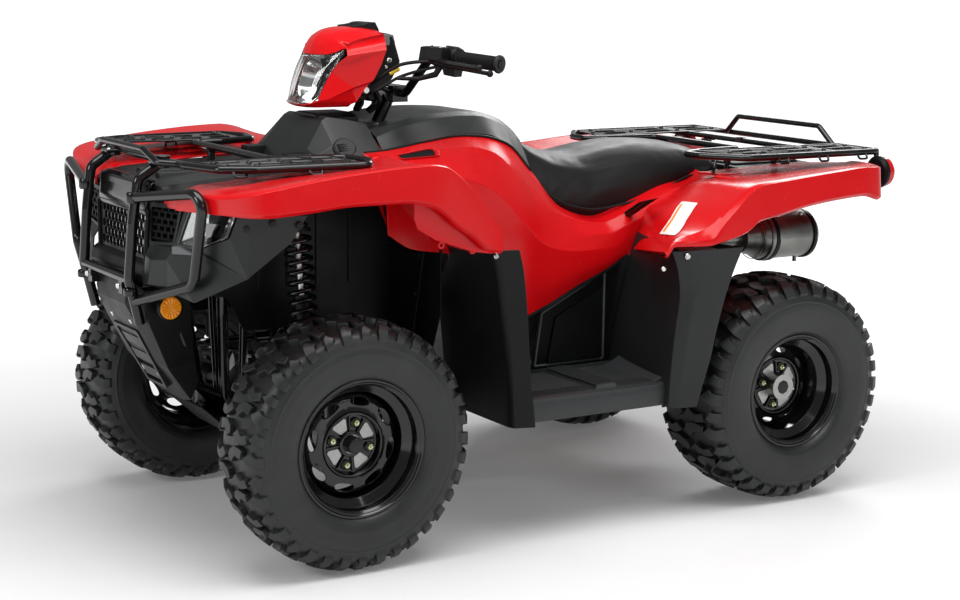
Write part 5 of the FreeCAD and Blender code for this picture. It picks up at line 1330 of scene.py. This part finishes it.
BAR_START = Vector((274, 222, 1184))
BAR_END = Vector((196, 408, 1169))
BAR_WAY = (BAR_END - BAR_START).normalized()
BAR_REACH = (BAR_END - BAR_START).length


def by_bar(side, along, aside=0.0, up=0.0):
    # A place near the straight end of the bar: along it, aside to the front, and up from its axis.
    front = Vector((BAR_WAY.y, -BAR_WAY.x, 0)).normalized()
    high = front.cross(BAR_WAY)
    if high.z < 0:
        high = -high
    p = BAR_START + BAR_WAY * along + front * aside + high * up
    return Vector((p.x, side * p.y, p.z))


def by_bars(side, start, *spots):
    # Places by the bar; each spot is the way along it past start, then aside and up.
    return [by_bar(side, start + along, *rest) for along, *rest in spots]


def grips():
    form = Form()
    start, end = BAR_REACH - 119, BAR_REACH + 5
    for side in (1, -1):
        line = [(start, 11.4), (start, 23), (start + 4, 23), (start + 6, 17)]
        for k in range(34):
            at = start + 8 + k * 3.1
            line += [(at, 17.6), (at + 1.4, 18.3), (at + 2.0, 17.2)]
        line += [(end - 10, 18), (end - 8, 22), (end - 4, 23), (end, 21), (end, 12), (end - 3, 11.4),
                 (end - 3, 0.5)]
        axis_a, axis_b = by_bar(side, 0), by_bar(side, 100)
        way = (axis_b - axis_a).normalized()
        across = way.orthogonal().normalized()
        other = way.cross(across)
        form.rings([[axis_a + way * at + (across * math.cos(a) + other * math.sin(a)) * r
                     for a in angles(28)] for at, r in line], caps=False)
    piece = form.build("grip_rubbers", SOFT, "steering", angle=50)
    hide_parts("grips")
    end_caps = Form()
    for side in (1, -1):
        end_caps.tube([by_bar(side, end + out) for out in (-4, 1.5, 2.5)], [11, 11, 8], sides=20)
    end_caps.build("grip_ends", DARK, "steering")


def controls():
    coat(DARK, "control_left", "control_right")
    coat(GLOSS, "handlebar", "steering_stem")
    start = BAR_REACH - 165
    form = Form()
    for side in (1, -1):
        # Round housing next to the grip, the block below it, the clamp and the box behind the bar
        form.tube(by_bars(side, start, (2,), (6,), (40,), (44,)), [25, 28, 28, 25], sides=28)
        form.rings([by_bars(side, start, (2, -24, -16), (44, -24, -16), (44, 16, -16), (2, 16, -16)),
                    by_bars(side, start, (10, -18, -44), (44, -18, -46), (44, 12, -46), (10, 12, -44))])
        form.rings([by_bars(side, start, (-64, -20, -20), (-24, -20, -20), (-24, 22, -20), (-64, 22, -20)),
                    by_bars(side, start, (-62, -16, 18), (-24, -18, 22), (-24, 22, 22), (-62, 18, 18))])
        form.tube(by_bars(side, start, (-24,), (4,)), 18, sides=24)
        form.rings([by_bars(side, start, (-30, 20, -6), (34, 20, -6), (34, 60, -6), (-30, 60, -6)),
                    by_bars(side, start, (-28, 22, 24), (32, 22, 26), (32, 56, 26), (-28, 56, 24))])
        # Second, lower arm with its pivot
        form.tube(by_bars(side, start, (-4, 4, -18), (-16, 10, -46), (-50, 34, -60), (-100, 62, -64)),
                  [9, 8, 6, 4], sides=12)
        form.tube(by_bars(side, start, (150, 12, -24), (152, 12, -24)), 8, sides=14)
    form.build("switch_housings", DARK, "steering", bevel=3, segments=3, angle=30)
    parts = Form()
    for side in (1, -1):
        for along, front, deep, up, radius, sides, slot in (
                (-40, -20, -9, 4, [9, 8], 18, 0), (-52, -18, -7, -8, 5, 14, 2), (24, -26, -5, 6, 6, 14, 2)):
            parts.tube(by_bars(side, start, (along, front, up), (along, front + deep, up)), radius,
                       sides=sides, slot=slot)
        for along, front in ((-18, 30), (22, 30), (-18, 50), (22, 50)):
            parts.tube(by_bars(side, start, (along, front, 24), (along, front, 28)), 3, sides=12, slot=1)
        parts.tube(by_bars(side, start, (10, 30, -8), (10, 30, -13)), 6, sides=14, slot=1)
    parts.build("switch_buttons", [SIGNAL, STEEL, GREY], "steering", bevel=1)
    # Levers with a ball at the end
    lever = Form()
    for side in (1, -1):
        lever.tube(by_bars(side, start, (-14, 30, -10), (10, 44, -14), (60, 46, -16), (120, 38, -20),
                           (160, 34, -22)), [10, 8, 6.5, 5.5, 5.5], sides=14)
        lever.sphere(by_bar(side, start + 164, 34, -22), 8.5)
    lever.build("hand_levers", DARK, "steering")


def loom():
    # Hoses from the pod's back down to the hood, and the bracket between them
    form = Form()
    for side, out, start in ((1, 62, 1096), (1, 40, 1110), (-1, 60, 1098), (-1, 36, 1112)):
        form.tube([(352, side * out, start), (338, side * (out + 6), start - 30),
                   (336, side * (out - 6), 1052), (352, side * (out * 0.5 + 6), 1032)], 6.5, smooth=6,
                  sides=10)
    form.build("pod_loom", SOFT, "steering")
    bracket = Form()
    bracket.tube([(352, -60, 1076), (352, 60, 1076)], 17, sides=20)
    bracket.box((322, -52, 1086), (360, 52, 1122))
    bracket.build("pod_lower_bracket", DARK, "steering", bevel=4, segments=3)


def cables():
    # Cables from the controls that go behind the pod
    upper = ((60, 12, -8), [(330, 190, 1168), (352, 140, 1140), (372, 104, 1112), (384, 80, 1096)], 9)
    lower = ((44, 6, -20), [(322, 170, 1136), (352, 132, 1108), (384, 108, 1084), (392, 70, 1076)], 8)
    lines = [([by_bar(side, *start)] + [(x, side * y, z) for x, y, z in rest], thick)
             for side in (1, -1) for start, rest, thick in (upper, lower)]
    for number, (points, thick) in enumerate(lines):
        points = [Vector(p) for p in points]
        data = bpy.data.curves.new("cable_%d" % number, "CURVE")
        data.dimensions = "3D"
        data.bevel_depth = thick / 2 * MM
        data.bevel_resolution = 4
        data.use_fill_caps = True
        data.resolution_u = 12
        spline = data.splines.new("NURBS")
        spline.points.add(len(points) - 1)
        for point, p in zip(spline.points, points):
            point.co = (*(p * MM), 1)
        spline.order_u = 3
        spline.use_endpoint_u = True
        data.materials.append(SOFT)
        piece = bpy.data.objects.new("cable_%d" % number, data)
        scene.collection.objects.link(piece)
        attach(piece, "steering")
        fine = []
        for a, b, c in zip(points, points[1:], points[2:]):
            first = a if a is points[0] else (a + b) / 2
            last = c if c is points[-1] else (b + c) / 2
            fine += corner_arc(first, b, last, 16)
    tag = Form()
    a, b = Vector((334, 162, 1148)), Vector((348, 142, 1136))
    tag.tube([a, b], 6.2, sides=18)
    tag.build("cable_tag", TAG, "steering")


pod()
grips()
controls()
loom()
cables()


# Seat: a padded cushion, inflated as cloth over its foam, with a sewn edge

SEAT = [
    (-52, [(140, 872), (146, 898), (120, 946), (70, 958), (0, 961)]),
    (-100, [(164, 800), (170, 836), (140, 908), (78, 930), (0, 934)]),
    (-180, [(176, 758), (184, 792), (152, 878), (84, 904), (0, 908)]),
    (-252, [(178, 742), (188, 780), (158, 870), (88, 894), (0, 899)]),
    (-360, [(178, 754), (188, 792), (160, 882), (90, 910), (0, 916)]),
    (-470, [(174, 786), (182, 818), (156, 894), (90, 920), (0, 926)]),
    (-600, [(164, 834), (170, 856), (146, 896), (86, 912), (0, 917)]),
    (-680, [(146, 848), (150, 858), (128, 878), (78, 888), (0, 891)]),
    (-704, [(130, 853), (134, 858), (116, 868), (74, 874), (0, 876)])]


def seat():
    rings = []
    for x, line in SEAT:
        left = [(x, y, z) for y, z in line]
        right = [(x, -y, z) for x, y, z in left[-2::-1]]
        rings.append(left + right + [(x, y, line[0][1] - 6) for y in (-90, 0, 90)])
    columns = [glide([ring[c] for ring in rings], 3) for c in range(len(rings[0]))]
    form = Form()
    form.rings([[column[r] for column in columns] for r in range(len(columns[0]))])
    piece = form.build("seat_cushion", VINYL, "chassis", smooth=False)
    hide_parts("seat")
    remesh = piece.modifiers.new("even", "REMESH")
    remesh.mode = "VOXEL"
    remesh.voxel_size = 0.007
    soften = piece.modifiers.new("soften", "SMOOTH")
    soften.factor = 0.6
    soften.iterations = 6
    applied = bpy.data.meshes.new_from_object(piece.evaluated_get(bpy.context.evaluated_depsgraph_get()))
    piece.modifiers.clear()
    piece.data = applied
    rest = [vert.co.copy() for vert in applied.vertices]
    held = piece.vertex_groups.new(name="base")
    held.add([v.index for v in applied.vertices if v.normal.z < -0.6], 1.0, "REPLACE")
    cloth = piece.modifiers.new("fill", "CLOTH")
    cloth.settings.quality = 4
    cloth.settings.use_pressure = True
    cloth.settings.uniform_pressure_force = 1.6
    cloth.settings.effector_weights.gravity = 0
    cloth.settings.vertex_group_mass = "base"
    cloth.settings.tension_stiffness = 22
    cloth.settings.compression_stiffness = 22
    for step in range(1, 15):
        scene.frame_set(step)
    settled = bpy.data.meshes.new_from_object(piece.evaluated_get(bpy.context.evaluated_depsgraph_get()))
    piece.modifiers.clear()
    piece.vertex_groups.clear()
    moved = [vert.co.copy() for vert in settled.vertices]
    for vert, start, end in zip(applied.vertices, rest, moved):
        way = end - start
        reach = min(way.length, 0.004)
        vert.co = start + (way.normalized() * reach if reach else way)
    scene.frame_set(1)
    # The top panel is drawn in along the stitched line
    for vert in applied.vertices:
        x, y, z = vert.co / MM
        line = stitch_at(x)
        if line and z > line[1] - 60:
            gap = math.hypot(abs(y) - line[0], z - line[1])
            if gap < 12:
                vert.co += Vector((0, -math.copysign(0.7, y), -0.7)) * (0.0032 * (1 - gap / 12) ** 2)
    for face in applied.polygons:
        face.use_smooth = True
    applied.materials.clear()
    applied.materials.append(VINYL)
    settle = piece.modifiers.new("settle", "SMOOTH")
    settle.factor = 0.5
    settle.iterations = 9
    finer = piece.modifiers.new("finer", "SUBSURF")
    finer.levels = finer.render_levels = 1
    # Piping along the lower edge
    piping = Form()
    for side in (1, -1):
        low = [(x, side * (line[1][0] + 5), line[1][1] - 16) for x, line in SEAT]
        piping.tube(low, 3.2, smooth=5, sides=10)
    piping.build("seat_piping", VINYL, "chassis")
    # Base pan under the cushion
    pan = Form()
    pan.rings([[(x, side * (line[0][0] - 3), line[0][1] - 4) for side in (1, -1)]
               + [(x, side * (line[0][0] - 3), line[0][1] + 6) for side in (-1, 1)] for x, line in SEAT])
    pan.build("seat_base", DARK, "chassis", bevel=2)


def stitch_at(x):
    for (x0, a), (x1, b) in zip(SEAT, SEAT[1:]):
        if x1 <= x <= x0:
            t = (x0 - x) / (x0 - x1)
            return a[2][0] + (b[2][0] - a[2][0]) * t, a[2][1] + (b[2][1] - a[2][1]) * t + 4
    return None


# Racks, tail and rear box

FRONT_SLOTS = [(x, y, 54, 16, 950) for x in (620, 700, 780, 860) for y in (290, 350)]
REAR_SLOTS = [(x, y, long, 20, 912) for x, long in ((-660, 70), (-820, 80), (-965, 80)) for y in (290, 350)]
RACK_TUBE = 9


def slot_line(x, y, long, wide):
    return rounded([(x - long / 2, y - wide / 2), (x + long / 2, y - wide / 2), (x + long / 2, y + wide / 2),
                    (x - long / 2, y + wide / 2)], 6, 3)


def rear_rack():
    # The tube runs round both plates; the plates start behind the seat.
    form = Form()
    path = [(-735, 0), (-735, 190), (-575, 214), (-512, 238), (-512, 300), (-590, 408), (-690, 415),
            (-1053, 415), (-1053, 0)]
    form.tube([(x, y, 906) for x, y in path], RACK_TUBE, bend=25, sides=20)
    form.tube([(-900, 0, 906), (-900, 412, 906)], RACK_TUBE - 1)
    form.tube([(-1037, 0, 958), (-1037, 180, 958), (-1042, 240, 906)], RACK_TUBE - 1, bend=22)
    slab(form, [(-560, 232), (-600, 400), (-690, 412), (-1046, 412), (-1046, 250), (-620, 232)],
         [slot_line(x, y, long, wide) for x, y, long, wide, z in REAR_SLOTS], LAY["z"], 909, 912)
    piece = both(form, "rear_rack_skin", GLOSS, "chassis", bevel=0.6)
    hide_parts("rear_rack")


def racks():
    coat(GLOSS, "front_rack")
    rear_rack()
    rims = Form()
    for x, y, long, wide, z in FRONT_SLOTS + REAR_SLOTS:
        path = [(a, b, z + 0.6) for a, b in slot_line(x, y, long, wide)]
        rims.tube(path + path[:1], 1.7, sides=8, caps=False)
    # Turned edges of the plates
    for line, z in ((((930, 262), (900, 380), (840, 408), (570, 418)), 950),
                    (((570, 262), (660, 238), (930, 262)), 950),
                    (((-690, 412), (-1046, 412)), 912), (((-620, 232), (-1046, 250)), 912)):
        rims.tube([(a, b, z) for a, b in line], 2.2, sides=8)
    both(rims, "rack_edges", GLOSS, "chassis")
    hooks = Form()
    for x, y, z in ((880, 400, 944), (700, 422, 944), (-700, 424, 906), (-840, 424, 906), (-980, 424, 906)):
        hooks.tube([(x - 16, y, z - 4), (x - 14, y + 8, z - 16), (x + 14, y + 8, z - 16), (x + 16, y, z - 4)],
                   3.2, bend=7, sides=10)
    # Saddle brackets where the plates meet the tubes and the stays, and the strap to the fender
    for x, y, z in ((720, 118, 944), (-730, 150, 906), (-900, 150, 906)):
        hooks.tube([(x, y, z - 46), (x, y, z - 8)], 10.5, sides=18)
        hooks.box((x - 16, y - 14, z - 12), (x + 16, y + 14, z - 7))
    hooks.box((-910, 0, 900), (-890, 12, 915))
    hooks.tube([(-580, 292, 904), (-566, 300, 880), (-556, 306, 856)], 4.5, sides=12)
    both(hooks, "rack_hooks", GLOSS, "chassis", bevel=0.8)
    heads = Form()
    for x, y in ((600, 320), (740, 320), (820, 320), (900, 300), (590, 395), (830, 385), (-600, 320),
                 (-740, 320), (-890, 290), (-890, 370), (-1030, 300), (-1030, 380), (-640, 390)):
        bolt(heads, (x, y, 950 if x > 0 else 912), (0, 0, 1), 5.5)
    black = plastic("black_bolt", (0.02, 0.02, 0.021), 0.3, metallic=0.6)
    both(heads, "rack_bolts", black, "chassis", bevel=0.6)


TAIL_LAMP_Y = 440


def tail():
    form = Form()
    centre = (-1052, TAIL_LAMP_Y, 852)
    form.turn(centre, [(0, -9.8), (20, -9.2), (33, -6.5), (39.5, -1), (41, 4), (41, 21), (36, 23)], 48,
              axis="x")
    for r in range(8, 33, 5):
        form.turn(centre, [(r, -9.2), (r + 2, -10.0), (r + 4, -8.8)], 40, axis="x")
    form.turn(centre, [(42, 17), (44.5, 19), (44.5, 27), (36, 33), (0, 33)], 48, axis="x", slot=1)
    form.tube([(-1034, TAIL_LAMP_Y - 14, 884), (-1040, 418, 896), (-1046, 412, 906)], 7, slot=1)
    form.tube([(-1030, TAIL_LAMP_Y, 852), (-1018, TAIL_LAMP_Y, 852), (-1004, TAIL_LAMP_Y - 10, 852)], 9,
              slot=1)
    piece = both(form, "tail_lamp_faces", [RUBY, DARK], "chassis", bevel=0.6)
    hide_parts("tail_lamps")
    deck = Form()
    line = [(206, 842), (200, 851), (100, 853), (-100, 853), (-200, 851), (-206, 842), (-200, 838),
            (200, 838)]
    deck.rings([[(x, y, z) for y, z in line] for x in (-745, -800, -1034)])
    piece = deck.build("deck_skin", DARK, "chassis", bevel=3)
    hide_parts("rear_deck")
    lid = Form()
    lid.rings([[(front, wide, z), (front, -wide, z), (rear, -narrow, end_z), (rear, narrow, end_z)]
               for front, rear, wide, narrow, z, end_z in
               ((-770, -1000, 130, 124, 780, 772), (-764, -1010, 142, 134, 838, 838),
                (-766, -1006, 138, 132, 857, 856), (-776, -996, 128, 122, 862, 861))])
    for x in (-820, -870, -920):
        lid.prism("y", -100, 100, [(x, 858), (x - 30, 858), (x - 26, 864), (x - 4, 864)])
    lid.build("tail_box", DARK, "chassis", bevel=4, segments=3)
    latch = Form()
    latch.box((-1014, -22, 826), (-1006, 22, 856))
    for y in (-14, 14):
        latch.tube([(-1014, y, 842), (-1018, y, 842)], 5, sides=14)
    latch.build("tail_box_latch", GREY, "chassis", bevel=2)


# Exhaust, suspension, driveline and frame

MUFFLER_RADIUS = 67


def exhaust():
    coat(BRUSHED, "exhaust")
    r, y, z = MUFFLER_RADIUS, 250, 664
    form = Form()
    form.turn((-782, y, z), [(r - 2, -2), (r + 2, 0), (r + 2, 12), (r - 2, 14)], 56, axis="x", side=-1)
    form.turn((-918, y, z), [(r - 2, -2), (r + 1.5, 0), (r + 1.5, 9), (r - 2, 11)], 56, axis="x", side=-1)
    form.build("muffler_bands", DARK, "chassis")
    seams = Form()
    for x, foot, top in ((-742, r - 8, r - 6), (-770, r - 1, r + 0.8), (-930, r - 1, r + 0.8)):
        seams.turn((x, y, z), [(foot, -1.5), (top, 0), (foot, 1.5)], 56, axis="x")
    # Spark screen cap and its bolts at the end
    seams.turn((-952, y, z), [(30, 8), (30, -2), (22, -4), (18, -2), (18, 10)], 40, axis="x")
    seams.build("muffler_seams", STEEL, "chassis")
    heads = Form()
    for a in angles(3):
        bolt(heads, (-947, y + 44 * math.cos(a + 0.6), z + 44 * math.sin(a + 0.6)), (-1, 0, 0), 4)
    for x in (-806, -890):
        bolt(heads, (x, y + (r + 4) * 0.5, z + (r + 4) * 0.866), (0, 0.5, 0.866), 5)
    heads.build("muffler_bolts", STEEL, "chassis", bevel=0.5)


def shock(form, foot, head, coil, body_start, rod_end, cups):
    # Spring, body, rod and spring cups; the numbers are shares of the way from foot to head.
    foot, head = Vector(foot), Vector(head)
    way = (head - foot).normalized()
    across = way.orthogonal().normalized()
    other = way.cross(across)
    start, end = coil
    turns, points, coil_radius, wire_radius = 11, 18, 31, 5.6
    steps = turns * points
    coils = [(k / steps, 2 * math.pi * k / points) for k in range(steps + 1)]
    form.tube([foot.lerp(head, start + (end - start) * share)
               + (across * math.cos(a) + other * math.sin(a)) * coil_radius for share, a in coils],
              wire_radius, sides=10)
    form.tube([foot.lerp(head, body_start), foot.lerp(head, 0.5)], 22, sides=24, slot=1)
    form.tube([foot.lerp(head, 0.3), foot.lerp(head, rod_end)], 9, slot=2)
    for t, radius in zip(cups, (29, 35, 35, 29)):
        form.tube([foot.lerp(head, t), foot.lerp(head, t + 0.02)], radius, sides=28, slot=1)


def shocks():
    form = Form()
    foot, head = Vector((647, 280, 405.6)), Vector((657, 226, 826))
    shock(form, foot, head, (0.24, 0.86), 0.04, 0.95, (0.21, 0.235, 0.86, 0.885))
    form.tube([foot.lerp(head, 0.885), foot.lerp(head, 0.95)], 24, sides=20, slot=1)
    form.turn(foot, [(10, -8), (17, -8), (17, 8), (10, 8)], 24, axis="x", slot=1, closed=True)
    form.turn(head, [(12, -14), (21, -14), (21, 14), (12, 14)], 24, slot=1, closed=True)
    piece = both(form, "front_shock_coils", [GLOSS, DARK, STEEL], "chassis")
    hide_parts("front_shock_left", "front_shock_right")
    rear = Form()
    shock(rear, (-607, 150, 336), (-620, 190, 790), (0.25, 0.85), 0.03, 0.97, (0.225, 0.25, 0.84, 0.865))
    piece = both(rear, "rear_shock_coils", [GLOSS, DARK, STEEL], "chassis")
    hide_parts("rear_shocks")


def boots():
    form = Form()
    for side in (1, -1):
        form.turn((647, side * 100.3, 334), [(36, 0), (37, 10), (33, 14), (36, 18), (29, 23), (33, 28),
                                             (25, 33), (29, 38), (21, 43), (24, 48), (16, 54), (15, 62)],
                  36, side=side)
        form.turn((647, side * 306, 301), [(15, 0), (24, 8), (19, 13), (28, 18), (23, 23), (32, 29), (28, 33),
                                           (35, 38), (35, 50), (10, 50)], 36, side=side)
        form.tube([(647, side * 120, 332), (647, side * 352, 300)], 11, sides=16, slot=1)
        for y, rad, z in ((106, 38, 334), (352, 36.5, 301)):
            form.turn((647, side * y, z), [(rad, -3), (rad + 1.2, -2), (rad + 1.2, 2), (rad, 3)], 36, slot=1)
    piece = form.build("shaft_boots", [SOFT, CAST], "chassis")
    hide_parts("half_shafts")


def driveline():
    coat(GLOSS, "frame", "a_arms_left", "a_arms_right", "tie_rod_left", "tie_rod_right", "swingarm")
    coat(CAST, "engine", "front_differential", "knuckle_left", "knuckle_right")
    coat(ALLOY, "rear_axle")
    coat(DARK, "skid_plate")
    coat(CORE, "radiator")
    form = Form()
    # Round covers on the engine's block
    for side in (1, -1):
        for x, r in ((-200, 66), (-80, 66), (60, 52)):
            form.tube([(x, side * y, 420) for y in (139, 152, 156)], [r, r, r - 12], sides=40)
            for a in angles(6):
                where = (x + (r - 6) * math.cos(a), side * 152, 420 + (r - 6) * math.sin(a))
                bolt(form, where, (0, side, 0), 4)
    form.build("engine_covers", CAST, "chassis", bevel=2, segments=2)
    arms = Form()
    for side in (1, -1):
        for y, z, starts in ((104, 267, (544, 593, 704, 753)), (128, 440, (561, 600, 681, 720))):
            for x in starts:
                arms.tube([(x, side * y, z), (x + 3, side * y, z)], 17, sides=20)
    arms.build("arm_bushes", SOFT, "chassis", bevel=0.8)
    core = Form()
    for k in range(30):
        core.box((849, -132 + k * 9, 668), (853, -129 + k * 9, 832))
    for low in (655, 832):
        core.box((846, -140, low), (856, 140, low + 13))
    core.build("radiator_fins", CORE, "chassis", smooth=False)


seat()
racks()
tail()
exhaust()
shocks()
boots()
driveline()


# Floor, light and camera

def floor():
    # Pale floor that brightens to the white of a studio cove away from the object.
    material = plastic("floor_white", (0.80, 0.80, 0.80), 0.7, vary=0.01)
    nodes, links = material.node_tree.nodes, material.node_tree.links
    shader = nodes["Principled BSDF"]
    coords = nodes.new("ShaderNodeTexCoord")
    centred = nodes.new("ShaderNodeVectorMath")
    centred.operation = "LENGTH"
    links.new(coords.outputs["Object"], centred.inputs[0])
    glow = nodes.new("ShaderNodeMapRange")
    glow.interpolation_type = "SMOOTHSTEP"
    for name, value in (("From Min", 1.2), ("From Max", 4.2), ("To Min", 0.10), ("To Max", 1.0)):
        glow.inputs[name].default_value = value
    links.new(centred.outputs["Value"], glow.inputs["Value"])
    shader.inputs["Emission Color"].default_value = (1, 1, 1, 1)
    links.new(glow.outputs["Result"], shader.inputs["Emission Strength"])
    mesh = bpy.data.meshes.new("floor")
    reach = 90.0
    mesh.from_pydata([(-reach, -reach, 0), (reach, -reach, 0), (reach, reach, 0), (-reach, reach, 0)], [],
                     [(0, 1, 2, 3)])
    mesh.materials.append(material)
    piece = bpy.data.objects.new("floor", mesh)
    scene.collection.objects.link(piece)


def softbox(name, where, target, wide, tall, power, colour=(1, 1, 1)):
    light = bpy.data.lights.new(name, "AREA")
    light.shape = "RECTANGLE"
    light.size, light.size_y = wide, tall
    light.energy = power
    light.color = colour
    lamp = bpy.data.objects.new(name, light)
    lamp.location = where
    lamp.rotation_euler = (Vector(target) - Vector(where)).to_track_quat("-Z", "Y").to_euler()
    scene.collection.objects.link(lamp)


def sky(strength):
    world = bpy.data.worlds.new("studio")
    scene.world = world
    world.use_nodes = True
    world.node_tree.nodes["Background"].inputs["Color"].default_value = (1, 1, 1, 1)
    world.node_tree.nodes["Background"].inputs["Strength"].default_value = strength


PHOTO_WIDTH_PX = 960
FOCAL_PX = 1924.4


def photo_camera():
    # Place and turn found from the wheels, racks and handlebar in the photograph.
    yaw, pitch, roll = 4.1558, 0.1776, 0.0127
    ahead = Vector((math.cos(yaw) * math.cos(pitch), math.sin(yaw) * math.cos(pitch), -math.sin(pitch)))
    right = ahead.cross(Vector((0, 0, 1))).normalized()
    up = right.cross(ahead)
    c, s = math.cos(roll), math.sin(roll)
    right, up = right * c + up * s, up * c - right * s
    data = bpy.data.cameras.new("photo")
    data.sensor_width = 36
    data.lens = data.sensor_width * FOCAL_PX / PHOTO_WIDTH_PX
    data.clip_end = 500
    camera = bpy.data.objects.new("photo", data)
    camera.matrix_world = Matrix((
        (right.x, up.x, -ahead.x, 2.7019),
        (right.y, up.y, -ahead.y, 4.3620),
        (right.z, up.z, -ahead.z, 1.4295),
        (0, 0, 0, 1)))
    scene.collection.objects.link(camera)
    scene.camera = camera


scene.view_settings.view_transform = "Standard"
floor()
sky(0.26)
softbox("key", (0.5, 0.9, 3.4), (0.0, 0, 0.5), 3.6, 2.0, 120)
softbox("side", (-1.2, 3.8, 2.4), (0, 0, 0.6), 2.6, 0.7, 18)
softbox("back", (-2.6, -1.8, 2.4), (0, 0, 0.7), 2.4, 1.0, 50)
softbox("nose", (3.8, 0.6, 2.2), (0.6, 0, 0.6), 1.2, 1.0, 34)
photo_camera()
